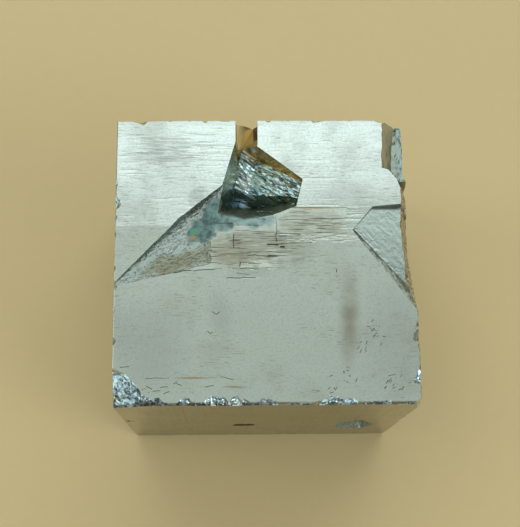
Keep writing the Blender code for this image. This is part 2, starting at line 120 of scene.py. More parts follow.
# %% Sizes of the contact hollow
RIM_LEFT_BACK = (-4.93, 20.7)
RIM_LEFT_FRONT = (-7.3, 12.4)
RIM_LEFT_END = (-8.1, 7.7)
RIM_RIGHT_BACK = (-1.14, 19.61)
RIM_RIGHT_CORNER = (6.4, 13.75)
RIM_RIGHT_FRONT = (5.25, 8.98)
RIM_FRONT_RIGHT = (1.3, 7.35)
RIM_FRONT_LEFT = (-3.4, 6.5)
CONTACT_WALL, LEFT_WALL, NEAR_WALL = 85.0, 76.0, 66.0
GROOVE_MOUTH = (-1.9, BACK, 45.4)
GROOVE_NECK = (-3.2, 21.75, 45.0)
SHELF_BEND = (-3.3, BACK, 47.0)
SHELF_BACK = (-4.9, BACK, 47.8)
FLOOR_BACK = (-4.13, 21.6, 45.8)
FLOOR_DIP = (-1.1, 19.1, 44.1)
FLOOR_LEFT = (-6.1, 14.3, 43.6)
FLOOR_RIGHT = (5.8, 13.9, 48.0)
FLOOR_FRONT = (3.9, 10.2, 46.3)
FLOOR_GRAIN = 0.4
FLOOR_ALONG = Vector((0.82, -0.57, 0.0))
POCKET_LIP = ((-5.5, 14.4), (3.6, 11.0))
POCKET_WALL, POCKET_BED = 78.0, 38.0

# %% Sizes of the breaks
TROUGH_RIM = ((-7.3, 12.7), (-14.2, 7.2), (-25.6, -4.7))
TROUGH_EDGE = ((-25.6, -4.8), (-12.2, -1.7))
TROUGH_END = ((-5.6, 8.0), (-8.2, -1.7))
TROUGH_BACK_WALL, TROUGH_FRONT_WALL, TROUGH_END_SLOPE, TROUGH_DEPTH = 76.0, 70.0, 13.0, 1.4
SCAR_LEFT, SCAR_BACK, SCAR_BACK_RIGHT = (14.1, 4.3), (18.0, 8.9), (25.5, 9.6)
SCAR_FRONT, SCAR_FRONT_RIGHT = (18.4, -0.4), (24.4, -8.3)
SCAR_SIDE_WALL, SCAR_BACK_WALL, SCAR_FRONT_WALL, SCAR_DIP = 80.0, 84.0, 36.0, 7.5
SPALL_TOP, SPALL_TURN, SPALL_TIP = (22.5, 9.0), (22.9, -4.0), (25.4, -10.8)
SPALL_LOW, SPALL_FOOT, SPALL_TIP_WALL = 40.0, 34.0, 66.0
NOTCH_SIDE, NOTCH_SIDE_SLOPE = 19.6, 58.0
NOTCH_LEDGE, NOTCH_LEDGE_DIP = (22.1, 20.0, 46.4), 12.0
NOTCH_LIP = 23.75
LIP_WALL, LIP_FRONT_WALL, LIP_FOOT_WALL = 88.0, 87.0, 85.5
SHOULDER = ((19.5, 15.8), (20.8, 15.4), (21.7, 14.5), (22.3, 13.6))
SHOULDER_WALL, NOTCH_FRONT_WALL = 76.0, 82.0
SPALL_RIM = ((22.9, 8.6), (22.8, 12.1), (22.2, 14.1))
CRUSH_LINES = (((-25.3, -16.6), (-17.9, -24.5), 34.0), ((-25.3, -18.0), (-22.4, -19.4), 62.0),
               ((-20.7, -21.0), (-19.7, -24.5), 62.0))

# %% [markdown]
# ## Faces and their striae
#
# On a pyrite cube the striae of neighbouring faces never run the same way: they turn
# a right angle across every edge. So each face gets its own small frame: its middle,
# the way out, the way along its striae and the way across them. Everything that lies
# on a face is placed with it.

# %% The six faces
class Face:
    """A face of the cube, with places given along and across its striae."""

    def __init__(self, name, middle, normal, along):
        self.name, self.middle = name, Vector(middle)
        self.normal, self.along = Vector(normal), Vector(along)
        self.across = self.normal.cross(self.along)

    def place(self, along, across, out):
        return self.middle + self.along * along + self.across * across + self.normal * out

    def read(self, point):
        """Where a point lies along and across the striae."""
        away = point - self.middle
        return away.dot(self.along), away.dot(self.across)


FACES = {
    "top": Face("top", (0, 0, TOP), (0, 0, 1), (1, 0, 0)),
    "bottom": Face("bottom", (0, 0, 0), (0, 0, -1), (1, 0, 0)),
    "front": Face("front", (0, FRONT, HALF_UP), (0, -1, 0), (0, 0, 1)),
    "back": Face("back", (0, BACK, HALF_UP), (0, 1, 0), (0, 0, 1)),
    "right": Face("right", (RIGHT, 0, HALF_UP), (1, 0, 0), (0, 1, 0)),
    "left": Face("left", (LEFT, 0, HALF_UP), (-1, 0, 0), (0, 1, 0)),
}
for face in FACES.values():
    print(f"{face.name:7s} striae run along", tuple(int(c) for c in face.along))

# %% [markdown]
# ## Cutting a block with planes
#
# Cleaved mineral is bounded by planes, so the handiest way to make both the crystal
# and what is missing from it is to start from a block and cut it flat, again and
# again. `keep_side` is that cut. The others say in a maker's words where the plane
# lies: a wall that goes down from a rim, or a floor through three points.

# %% Cutting tools
def geometry(bm):
    return bm.verts[:] + bm.edges[:] + bm.faces[:]


def box(low, high):
    """A block between two corners."""
    low, high = Vector(low), Vector(high)
    bm = bmesh.new()
    bmesh.ops.create_cube(bm, size=1.0)
    bmesh.ops.scale(bm, vec=high - low, verts=bm.verts[:])
    bmesh.ops.translate(bm, vec=(low + high) / 2, verts=bm.verts[:])
    return bm


def keep_side(bm, point, normal):
    """Cut a block flat and keep what lies on the side that normal points to."""
    cut = bmesh.ops.bisect_plane(bm, geom=geometry(bm), dist=1e-5, plane_co=point,
                                 plane_no=normal, clear_inner=True)
    edges = [part for part in cut["geom_cut"] if isinstance(part, bmesh.types.BMEdge)]
    if len(edges) > 2:
        bmesh.ops.contextual_create(bm, geom=edges)


def keep_inside_wall(bm, start, end, slope, top=TOP):
    """Bound a cutter by a wall that goes down from the rim line start to end.

    The hollow is on the right hand of someone who walks from start to end.
    """
    along = Vector((end[0] - start[0], end[1] - start[1], 0.0)).normalized()
    inward = Vector((along.y, -along.x, 0.0))
    tilt = math.radians(slope)
    keep_side(bm, Vector((start[0], start[1], top)),
              inward * math.sin(tilt) + Vector((0, 0, math.cos(tilt))))


def keep_above(bm, first, second, third):
    """Bound a cutter below by the plane through three points."""
    first, second, third = Vector(first), Vector(second), Vector(third)
    normal = (second - first).cross(third - first).normalized()
    keep_side(bm, first, normal if normal.z > 0 else -normal)


# %% [markdown]
# ## Broken metal
#
# Pyrite breaks into uneven ridges and small bright facets. To give a flat cut such a
# surface, it is first parted into a fine net by evenly spaced planes, and then each
# corner of the net is moved a little. Where it moves to comes from noise: `ridges`
# changes quickly across one direction and slowly along it, and `facets` tips small
# cells of the surface each their own way, so that they catch the light one by one.

# %% Roughening tools
def slice_up(bm, direction, step, low, high):
    """Part the faces of a block along evenly spaced planes."""
    direction = Vector(direction).normalized()
    geom = geometry(bm)
    for index in range(1, int((high - low) / step)):
        cut = bmesh.ops.bisect_plane(bm, geom=geom, dist=1e-5, plane_no=direction,
                                     plane_co=direction * (low + index * step))
        geom = cut["geom"]


def ridges(point, along, across_size, along_size, seed):
    """A value from -1 to 1 that changes quickly across and slowly along."""
    along = Vector(along).normalized()
    across = Vector((-along.y, along.x, 0.0))
    place = Vector((point.dot(across) / across_size, point.dot(along) / along_size,
                    point.z / across_size * 0.3 + seed))
    return 0.65 * noise.noise(place) + 0.35 * noise.noise(place * 2.3)


def facets(point, size, seed):
    """A value from about -1 to 1: each small cell is a plane with its own tilt."""
    place = point / size + Vector((seed, seed * 1.7, seed * 2.3))
    middle = noise.voronoi(place)[1][0]
    lean = noise.cell_vector(middle * 7.31) - Vector((0.5, 0.5, 0.5))
    return 1.6 * (place - middle).dot(lean) + 0.5 * lean.x


print("noise at a corner of the hollow:",
      round(ridges(Vector(FLOOR_DIP), FLOOR_ALONG, 0.9, 3.5, 4.0), 3))

# %% [markdown]
# ## What a face is made of
#
# Later the metal has to know which faces grew, which lay against another crystal and
# which are broken, because they differ in shine and tarnish. Every mesh notes that
# in a number on each of its faces, called `kind`, and the Boolean carries it along.
# One cutter can leave two kinds: the hollow has a torn floor but smooth walls. So
# `mark` picks the faces of the second kind by the direction in which they look, and
# `roughen` can spare them while it moves every other corner.

# %% Kinds of surface, and finishing a mesh
GROWN, CONTACT, OLD_BREAK, FRESH_BREAK, STAINED_BREAK = 0.0, 1.0, 2.0, 3.0, 4.0


def mark(bm, looks):
    """Mark the faces of a cutter for its second kind, by the direction they look in."""
    bm.normal_update()
    for face in bm.faces:
        face.material_index = int(looks(face.normal))


def roughen(bm, move, spare_marked=True):
    """Move the corners of a cutter that lie in the crystal."""
    for vert in bm.verts:
        spared = spare_marked and all(face.material_index for face in vert.link_faces)
        if vert.co.z < TOP + 0.1 and not spared:
            vert.co += move(vert.co)


def finish(bm, name, kind, marked_kind=GROWN):
    """Make an object from a mesh worked in millimetres, with a kind on each face."""
    bmesh.ops.triangulate(bm, faces=bm.faces[:])
    bmesh.ops.recalc_face_normals(bm, faces=bm.faces[:])
    kinds = [marked_kind if face.material_index else kind for face in bm.faces]
    for face in bm.faces:
        face.material_index = 0
    bmesh.ops.scale(bm, vec=(MM, MM, MM), verts=bm.verts[:])
    mesh = bpy.data.meshes.new(name)
    bm.to_mesh(mesh)
    bm.free()
    mesh.attributes.new("kind", 'FLOAT', 'FACE').data.foreach_set("value", kinds)
    return bpy.data.objects.new(name, mesh)


missing = bpy.data.collections.new("missing")


def take_away(bm, name, kind, marked_kind=GROWN):
    """Put a cutter with everything else that is missing from the crystal."""
    missing.objects.link(finish(bm, name, kind, marked_kind))


# %% [markdown]
# ## The striated block
#
# The block starts as a cube whose long edges are a little worn. Each face is then
# parted into a net of narrow strips that lie along its striae. Steps that are only
# hundredths of a millimetre high would be lost in an even net, so the strips are
# narrow across the striae, 0.2 mm on the top face, and long along them.

# %% The worn block and its nets
rng = random.Random(5)


def spaced(low, high, step):
    """Places between low and high, about one step apart."""
    places, place = [], low + step
    while place < high - 0.4 * step:
        places.append(place)
        place += step * rng.uniform(0.6, 1.4)
    return places


def region(faces):
    """Some faces with all their edges and corners, for bisect_plane."""
    return (list({vert for face in faces for vert in face.verts})
            + list({edge for face in faces for edge in face.edges}) + faces)


def part_along(bm, faces, middle, direction, places):
    """Part these faces along planes square to a direction."""
    geom = region(faces)
    for place in places:
        geom = bmesh.ops.bisect_plane(bm, geom=geom, dist=1e-5, plane_no=direction,
                                      plane_co=middle + direction * place)["geom"]


def faces_of(bm, side, facing=0.999):
    return [face for face in bm.faces if face.normal.dot(side.normal) > facing]


def net(bm, side, across_step, along_step):
    """Part one face and its worn rim, finely across its striae and coarsely along them."""
    part_along(bm, faces_of(bm, side, 0.8), side.middle, side.across, spaced(-25, 25, across_step))
    part_along(bm, faces_of(bm, side, 0.8), side.middle, side.along, spaced(-25, 25, along_step))


TOP_NET, SIDE_NET = (0.2, 1.3), (0.36, 2.2)     # steps across and along the striae
block = box((LEFT, FRONT, 0.0), (RIGHT, BACK, TOP))
bmesh.ops.bevel(block, geom=block.edges[:], offset=EDGE_WEAR, segments=2,
                profile=0.5, affect='EDGES', material=-1)
for side in FACES.values():
    net(block, side, *(TOP_NET if side.name == "top" else SIDE_NET))
print("faces after parting:", len(block.faces))

# %% [markdown]
# The stepped fields in the middle of the top face have short treads with square
# ends, so there the net needs to be fine both ways. Only the faces of that field
# are parted again, which costs little.

# %% A finer net in the stepped field
FIELD_LOW, FIELD_HIGH, FIELD_NET = Vector((-14.0, -4.0, 0)), Vector((14.5, 9.2, 0)), 0.4


def in_field(face):
    middle = face.calc_center_median()
    return (FIELD_LOW.x < middle.x < FIELD_HIGH.x and FIELD_LOW.y < middle.y < FIELD_HIGH.y)


field = [face for face in faces_of(block, FACES["top"]) if in_field(face)]
part_along(block, field, Vector(), Vector((1, 0, 0)),
           spaced(FIELD_LOW.x, FIELD_HIGH.x, FIELD_NET))
print("faces with the stepped field:", len(block.faces))

# %% [markdown]
# ## Growth steps
#
# A tread is a thin lath of the face that lies a few hundredths of a millimetre
# deeper than its surroundings. A plain stria leans back: it starts level with the
# face in front and ends in a riser behind, and has pointed ends. The broken steps in
# the middle do the same, but they are wider, deeper and square at their ends. Light
# skims over the treads and is caught by the risers, and that is what the eye reads as
# fine lines. numpy moves all corners of a face at once, lath after lath.

# %% Laths and what they take off a face
def laths(number, along, across, length, width, depth):
    """Rows of (start, length, low side, width, depth), strewn over a part of a face."""
    rows = []
    for _ in range(number):
        long = rng.uniform(*length) * rng.uniform(0.5, 1.0)
        rows.append((rng.uniform(along[0] - 0.5 * long, along[1] - 0.5 * long), long,
                     rng.uniform(*across), rng.uniform(*width), rng.uniform(*depth)))
    return rows


def tread(along, across, rows, square=False):
    """How far the laths take each point below the face."""
    depth_here = np.zeros_like(along)
    for start, length, low, width, depth in rows:
        run = (along - start) / length
        taper = 1.0 if square else np.sqrt(np.clip(4.0 * run * (1.0 - run), 1e-4, 1.0))
        rise = (across - low) / (width * taper)
        inside = (run > 0) & (run < 1) & (rise > 0) & (rise < 1)
        depth_here += np.where(inside, depth * rise, 0.0)
    return depth_here


ONE_DEGREE = 0.0175     # as a slope


def sink(x, y):
    """How far the back part of the top face leans down: one degree, from a crease."""
    crease = 5.6 + 3.1 * np.clip((x + 3.0) / 5.0, 0.0, 1.0)
    return ONE_DEGREE * np.maximum(0.0, y - crease)


TOP_LATHS = (
    laths(420, (-25, 25), (5.6, 24), (1.0, 6), (0.22, 0.5), (0.002, 0.009))
    + laths(60, (-25, -8), (14.5, 21.5), (2, 9), (0.22, 0.5), (0.006, 0.018))
    + laths(160, (-25, 25), (-24, 6), (1, 7), (0.22, 0.6), (0.001, 0.005))
    + laths(90, (1, 14), (2.5, 9.0), (1.5, 8), (0.22, 0.5), (0.008, 0.03)))
FIELD_LATHS = (
    laths(70, (-13, 3), (-2.2, 5.0), (1.0, 5.5), (0.9, 2.0), (0.006, 0.02))
    + laths(20, (-7, 3), (-3.8, 2.0), (1.2, 5.0), (1.8, 2.6), (0.05, 0.08)))
SIDE_LATHS = {name: laths(260, (-25, 25), (-25, 25), (6, 60), (0.4, 1.5), (0.008, 0.04))
              for name in FACES if name != "top"}
print("laths on the top face:", len(TOP_LATHS) + len(FIELD_LATHS))


# %% Lower the corners of the nets
def relief(side, along, across):
    """How far growth left each point of a face short of the ideal cube."""
    swell = np.array([noise.noise(Vector((a * 0.07, b * 0.11, ord(side.name[0])))) for a, b
                      in zip(along, across)])
    depth = 0.014 * (1.0 + swell)
    if side.name == "top":
        depth += tread(along, across, TOP_LATHS)
        return depth + tread(along, across, FIELD_LATHS, square=True)
    return depth + tread(along, across, SIDE_LATHS[side.name])


RIM_KEPT = 0.8          # over this width growth steps run out towards the rim


def grow(bm, side):
    """Lower the inner corners of a face, and leave its rim where it is."""
    own = set(faces_of(bm, side))
    inner = [v for v in {v for f in own for v in f.verts} if all(f in own for f in v.link_faces)]
    places = np.array([side.read(vert.co) for vert in inner])
    to_rim = np.minimum(25.0 - np.abs(places[:, 0]), 24.2 - np.abs(places[:, 1]))
    depth = relief(side, places[:, 0], places[:, 1]) * to_rim.clip(0, RIM_KEPT) / RIM_KEPT
    for vert, down in zip(inner, depth):
        vert.co -= side.normal * down
    return depth.max()


deepest = {name: round(float(grow(block, side)), 3) for name, side in FACES.items()}
for vert in block.verts:
    if vert.co.z > TOP - 0.6:
        vert.co.z -= float(sink(np.float64(vert.co.x), np.float64(vert.co.y)))
crystal = finish(block, "crystal", GROWN)
scene.collection.objects.link(crystal)
print("deepest growth step on each face, in millimetres:", deepest)

# %% [markdown]
# ## The contact hollow
#
# A neighbouring crystal once stood in the back edge. Where pyrite grew against it,
# its walls are smooth and flat; where it has since torn away, the floor is a
# staircase of fine ridges that all run one way, and a deep pocket opens in front of
# it. The groove behind is a second smooth imprint that opens in the back face. The
# walls are planes, and only the floor and the pocket are parted finely and roughened.
#
# A block that is only ever cut flat has no inward corners. So where a floor or a rim
# bends the other way, the break is made of two or more blocks that overlap.

# %% The groove in the back face
def make_groove():
    """Its floor is bent, so there is one cut for each side of the bend."""
    for number, (low, high) in enumerate(((GROOVE_MOUTH, SHELF_BEND), (SHELF_BEND, SHELF_BACK))):
        bm = box((-7.0, 17.0, 40.0), (RIM_RIGHT_BACK[0], BACK + OVER, TOP + OVER))
        left = RIM_LEFT_BACK[0]
        keep_inside_wall(bm, (left, 19.0), (left, BACK + OVER), CONTACT_WALL)
        keep_above(bm, (*RIM_RIGHT_BACK, TOP), GROOVE_MOUTH, GROOVE_NECK)
        keep_above(bm, low, GROOVE_NECK, high)
        take_away(bm, f"groove_{number}", CONTACT)


def bound_by_front_rim(bm):
    """The walls that the hollow and its pocket share: right, front and left."""
    keep_inside_wall(bm, RIM_LEFT_FRONT, RIM_LEFT_BACK, LEFT_WALL)
    keep_inside_wall(bm, RIM_RIGHT_CORNER, RIM_RIGHT_FRONT, CONTACT_WALL)
    keep_inside_wall(bm, RIM_RIGHT_FRONT, RIM_FRONT_RIGHT, NEAR_WALL)
    keep_inside_wall(bm, RIM_FRONT_RIGHT, RIM_FRONT_LEFT, NEAR_WALL)
    keep_inside_wall(bm, RIM_FRONT_LEFT, RIM_LEFT_END, NEAR_WALL)
    keep_inside_wall(bm, RIM_LEFT_END, RIM_LEFT_FRONT, LEFT_WALL)


make_groove()


# %% The hollow and its ridged floor
def torn_floor(point):
    """Coarse ridges, sharp fine ones and facets, one on top of the other."""
    return Vector((0, 0, FLOOR_GRAIN * ridges(point, FLOOR_ALONG, 0.9, 5.5, 4.0)
                   + 0.55 * (0.3 - abs(ridges(point, FLOOR_ALONG, 0.46, 4.6, 9.0)))
                   + 0.05 * facets(point, 0.9, 2.0)))


def make_hollow():
    bm = box((-9.0, 5.0, 38.0), (8.0, 23.4, TOP + OVER))
    keep_inside_wall(bm, RIM_RIGHT_BACK, RIM_RIGHT_CORNER, CONTACT_WALL)
    keep_side(bm, FLOOR_BACK, (0, -1, 0))
    bound_by_front_rim(bm)
    keep_above(bm, FLOOR_BACK, FLOOR_DIP, FLOOR_LEFT)
    keep_above(bm, FLOOR_DIP, FLOOR_RIGHT, FLOOR_FRONT)
    slice_up(bm, (0.57, 0.82, 0.0), 0.17, 3.0, 19.0)
    slice_up(bm, FLOOR_ALONG, 0.5, -14.0, 4.0)
    slice_up(bm, (0, 0, 1), 1.2, 38.0, TOP)
    mark(bm, lambda normal: abs(normal.z) < 0.3)
    roughen(bm, torn_floor)
    take_away(bm, "hollow", OLD_BREAK, CONTACT)


make_hollow()

# %% The pocket
def torn_pocket(point):
    """Steep facets that reach sideways and backwards."""
    wave = ridges(point, (1, 0, 0), 1.3, 2.4, 11.0) + 0.5 * facets(point, 1.1, 5.0)
    return Vector((0.2, 0.4, 0.0)) * wave


def make_pocket():
    bm = box((-9.0, 5.0, 34.0), (8.0, 16.0, TOP + OVER))
    bound_by_front_rim(bm)
    keep_inside_wall(bm, *POCKET_LIP, POCKET_WALL, top=43.0)
    keep_side(bm, (0.0, 12.0, POCKET_BED), Vector((0.1, 0.15, 1.0)).normalized())
    slice_up(bm, (1, 0, 0), 0.5, -9.0, 8.0)
    slice_up(bm, (0, 0, 1), 0.45, 34.0, 49.0)
    mark(bm, lambda normal: normal.y < -0.3)
    roughen(bm, torn_pocket)
    take_away(bm, "pocket", OLD_BREAK, STAINED_BREAK)


make_pocket()

# %% [markdown]
# ## The trough and the flake scar
#
# Both are old, shallow breaks in the top face. The trough is steep along its back
# rim and runs out to nothing at its front edge, and the scar dips towards the right
# face. Their grain shows where the break ran, so each net lies along its own grain.

# %% The trough
def torn_trough(point):
    """Rough along the deep back rim, and hardly so where the trough runs out."""
    rough = min(1.0, 0.5 + (TOP + 0.1 - point.z) / 1.6)
    wave = (0.5 * ridges(point, (0.8, 0.6, 0), 1.4, 2.6, 21.0)
            + 0.6 * (0.3 - abs(ridges(point, (0.9, 0.4, 0), 0.34, 1.5, 24.0)))
            + 0.25 * facets(point, 0.6, 6.0))
    return Vector((0.22, -0.22, 0.28)) * wave * rough


def make_trough():
    """Two walls along the back rim, a ramp at the end and a floor that rises in front."""
    bm = box((-27.0, -7.0, TOP - 4.0), (-4.0, 15.0, TOP + OVER))
    mouth, middle, tip = TROUGH_RIM
    keep_inside_wall(bm, tip, middle, TROUGH_BACK_WALL)
    keep_inside_wall(bm, middle, mouth, TROUGH_BACK_WALL)
    keep_inside_wall(bm, *TROUGH_END, TROUGH_END_SLOPE)
    keep_inside_wall(bm, TROUGH_EDGE[1], TROUGH_EDGE[0], TROUGH_FRONT_WALL)
    keep_above(bm, (*TROUGH_EDGE[0], TOP - 0.25), (*TROUGH_EDGE[1], TOP - 0.35),
               (*middle, TOP - TROUGH_DEPTH))
    slice_up(bm, (0.70, 0.71, 0), 0.3, -22.0, 8.0)
    slice_up(bm, (-0.71, 0.70, 0), 0.2, 4.0, 17.0)
    slice_up(bm, (0, 0, 1), 0.4, TOP - 3.9, TOP + 0.9)
    roughen(bm, torn_trough)
    take_away(bm, "trough", OLD_BREAK)


make_trough()

# %% The flake scar
SCAR_GRAIN = Vector((0.62, -0.78, 0.0))


def torn_scar(point):
    """Nearly flat in the middle, and grainy along the front rim."""
    rim = Vector((SCAR_FRONT[0] - SCAR_LEFT[0], SCAR_FRONT[1] - SCAR_LEFT[1], 0.0)).normalized()
    inside = (point - Vector((*SCAR_LEFT, 0.0))).dot(Vector((-rim.y, rim.x, 0.0)))
    rough = 0.13 + 0.5 * max(0.0, 1.0 - abs(inside) / 1.8)
    wave = (0.6 * ridges(point, SCAR_GRAIN, 1.4, 2.8, 33.0)
            + 0.5 * ridges(point, SCAR_GRAIN, 0.4, 1.2, 36.0)
            + 0.3 * facets(point, 0.6, 8.0))
    return Vector((0.2, 0.14, 0.16)) * wave * rough


def make_scar():
    bm = box((12.0, -11.0, TOP - 5.0), (RIGHT + OVER, 11.0, TOP + OVER))
    keep_inside_wall(bm, SCAR_LEFT, SCAR_BACK, SCAR_SIDE_WALL)
    keep_inside_wall(bm, SCAR_BACK, SCAR_BACK_RIGHT, SCAR_BACK_WALL)
    keep_inside_wall(bm, SCAR_FRONT_RIGHT, SCAR_FRONT, SCAR_FRONT_WALL)
    dip = math.radians(SCAR_DIP)
    keep_side(bm, (*SCAR_LEFT, TOP - 0.2),
              Vector((math.sin(dip), 0.03, math.cos(dip))).normalized())
    slice_up(bm, SCAR_GRAIN, 0.4, 2.0, 26.0)
    slice_up(bm, (0.78, 0.62, 0), 0.3, 6.0, 26.0)
    slice_up(bm, (0, 0, 1), 0.4, TOP - 4.9, TOP + 0.7)
    roughen(bm, torn_scar)
    take_away(bm, "scar", OLD_BREAK)


make_scar()

# %% [markdown]
# ## The right edge, its notch and the crushed corner
#
# The top right edge has spalled: it is gone, and the break runs out lower on the
# right face. Behind it, a stepped notch has taken the back right corner. Both have had
# time to stain. The front left corner was crushed last: it is a slope of small flat
# facets, each with a lean of its own, and its metal is still bright.

# %% Roughening a young break
def shatter(bm, limits, steps, strength, seed, grain=(0, 1, 0)):
    """Part a cutter into small cells along x, y and z, and tip them by up to strength."""
    for direction, step, (low, high) in zip(((1, 0, 0), (0, 1, 0), (0, 0, 1)), steps, limits):
        slice_up(bm, direction, step, low, high)
    push = Vector(strength)
    roughen(bm, lambda point: push * (ridges(point, grain, 1.7, 3.1, seed)
                                      + 0.5 * ridges(point, grain, 0.6, 1.1, seed + 3.0)
                                      + 0.6 * facets(point, 1.1, seed)), spare_marked=False)


# %% The spalled edge
SPALL_CELLS, SPALL_PUSH, SPALL_SEED = (9, 0.5, 0.5), (0.3, 0, 0), 44.0


def make_spall():
    """The broken edge, and a cut for each further stretch of its rim behind the scar."""
    bm = box((19.0, -14.0, SPALL_FOOT), (RIGHT + OVER, 9.2, TOP + OVER))
    slope = math.degrees(math.atan2(TOP - SPALL_LOW, RIGHT - SPALL_TOP[0]))
    keep_inside_wall(bm, SPALL_TURN, SPALL_TOP, slope)
    keep_inside_wall(bm, SPALL_TIP, SPALL_TURN, SPALL_TIP_WALL)
    shatter(bm, ((19, 26.5), (-14, 17), (SPALL_FOOT, 51.5)), SPALL_CELLS, SPALL_PUSH, SPALL_SEED)
    take_away(bm, "spall", STAINED_BREAK)
    for number, (start, end) in enumerate(zip(SPALL_RIM, SPALL_RIM[1:])):
        bm = box((19.0, start[1], SPALL_FOOT), (RIGHT + OVER, end[1] + 0.2, TOP + OVER))
        keep_inside_wall(bm, start, end, slope)
        shatter(bm, ((19, 26.5), (8, 15), (SPALL_FOOT, 51.5)), SPALL_CELLS, SPALL_PUSH, SPALL_SEED)
        take_away(bm, f"spall_{number}", STAINED_BREAK)


make_spall()

# %% The notch and its ledge
def bound_by_ledge(bm):
    """The side wall and the ledge that the notch and the shoulder in front share."""
    keep_inside_wall(bm, (NOTCH_SIDE, 12.0), (NOTCH_SIDE + 0.4, BACK), NOTCH_SIDE_SLOPE)
    dip = math.radians(NOTCH_LEDGE_DIP)
    keep_side(bm, NOTCH_LEDGE, Vector((math.sin(dip), 0.08, math.cos(dip))).normalized())
    mark(bm, lambda normal: normal.z > -0.9)
    shatter(bm, ((18, 26.5), (9, 26), (36, 51.5)), (0.3, 0.5, 0.5), (0.12, 0.04, 0.10), 51.0)


def make_notch():
    bm = box((18.0, 12.0, 36.0), (RIGHT + OVER, BACK + OVER, TOP + OVER))
    keep_inside_wall(bm, (25.5, 15.1), SHOULDER[0], NOTCH_FRONT_WALL)
    bound_by_ledge(bm)
    take_away(bm, "notch", OLD_BREAK, STAINED_BREAK)


def make_lip():
    """Below the ledge of the notch the right face is gone too, and runs out lower down."""
    bm = box((21.0, 12.6, 30.0), (RIGHT + OVER, BACK + OVER, TOP + OVER))
    keep_inside_wall(bm, (NOTCH_LIP, 12.0), (NOTCH_LIP, BACK), LIP_WALL)
    keep_inside_wall(bm, (RIGHT + 0.2, 13.0), (NOTCH_LIP, 14.8), LIP_FRONT_WALL)
    keep_inside_wall(bm, (NOTCH_LIP + 0.7, 9.0), (NOTCH_LIP + 0.5, BACK), LIP_FOOT_WALL, top=40.0)
    shatter(bm, ((18, 26.5), (9, 26), (30, 51.5)), (9, 0.6, 0.6), (0.14, 0, 0), 59.0)
    take_away(bm, "lip", STAINED_BREAK)


def make_shoulder():
    """The rim turns round the notch in a quarter circle: one cut for each stretch of it."""
    for number, (start, end) in enumerate(zip(SHOULDER, SHOULDER[1:])):
        bm = box((SHOULDER[0][0] - 0.5, 14.0, 38.0), (RIGHT + OVER, 18.0, TOP + OVER))
        keep_inside_wall(bm, end, start, SHOULDER_WALL)
        bound_by_ledge(bm)
        take_away(bm, f"shoulder_{number}", OLD_BREAK, STAINED_BREAK)


make_notch()
make_lip()
make_shoulder()

# %% The crushed corner
def make_crushed_corner():
    bm = box((LEFT - OVER, FRONT - OVER, TOP - 9.0), (-17.0, -15.0, TOP + OVER))
    for start, end, slope in CRUSH_LINES:
        keep_inside_wall(bm, start, end, slope)
    shatter(bm, ((-26.5, -17), (-25.8, -15), (41, 51.5)), (0.55, 0.5, 9), (0.15, 0.15, 0.42), 63.0,
            grain=(0.69, -0.73, 0))
    take_away(bm, "crushed_corner", FRESH_BREAK)


make_crushed_corner()

# %% [markdown]
# ## Larger growth steps
#
# Some steps are so deep that they show as ledges. Such a terrace is a strip of the
# face that is gone, and its floor may slope across the striae, so it is a block with
# two depths. The top face has a set of its own, and the other faces have a few large
# ones and a scatter of smaller ones.

# %% Terraces
def terrace(side, along, across, depth_start, depth_end, number):
    """Shave a strip off a face; its depth changes evenly across the striae."""
    bm = bmesh.new()
    bmesh.ops.create_cube(bm, size=1.0)
    for vert in bm.verts:
        far = vert.co.y > 0
        vert.co = side.place(along[vert.co.x > 0], across[far], OVER + 0.01 * number
                             if vert.co.z > 0 else -(depth_end if far else depth_start))
    take_away(bm, f"terrace_{side.name}_{number}", GROWN)


TOP_STEPS = (
    (-13.6, -5.4, 1.7, 6.2, 0.42, 0.56), (-12.6, -4.3, -1.75, 1.9, 0.22, 0.34),
    (-5.9, 2.0, 4.5, 8.4, 0.34, 0.46), (-5.8, 2.35, 2.25, 4.7, 0.27, 0.23),
    (-4.8, 0.4, -0.6, 2.4, 0.10, 0.15), (-6.4, 0.35, -3.15, -1.6, 0.14, 0.10),
    (1.6, 3.55, 1.75, 3.9, 0.26, 0.20), (1.9, 13.7, 7.0, 8.75, 0.13, 0.17),
    (1.8, 11.2, 5.6, 7.1, 0.09, 0.12), (1.8, 8.4, 4.2, 5.7, 0.06, 0.09),
    (-16.5, -7.6, -20.4, -19.5, 0.08, 0.06), (-6.9, -2.4, -21.9, -21.1, 0.09, 0.06))
for number, step in enumerate(TOP_STEPS):
    terrace(FACES["top"], step[0:2], step[2:4], step[4], step[5], number)

SIDE_STEPS = {
    "front": ((-25.5, 25.5, 20.5, 25.5, 0.05, 0.09), (-25.5, 6.0, -25.5, -21.0, 0.08, 0.03)),
    "back": ((-25.5, 25.5, -25.5, -17.0, 0.22, 0.12), (-25.5, 1.0, -11.0, -8.6, 0.10, 0.05)),
    "right": ((-25.5, 25.5, -25.5, -20.0, 0.24, 0.14), (-25.5, 8.0, -12.4, -10.2, 0.12, 0.05)),
    "left": ((-25.5, 25.5, 16.0, 25.5, 0.12, 0.24), (-9.0, 25.5, 3.0, 5.4, 0.05, 0.12)),
    "bottom": ((-25.5, 25.5, 17.0, 25.5, 0.10, 0.22), (11.0, 25.5, -21.0, -17.0, 0.14, 0.06)),
}


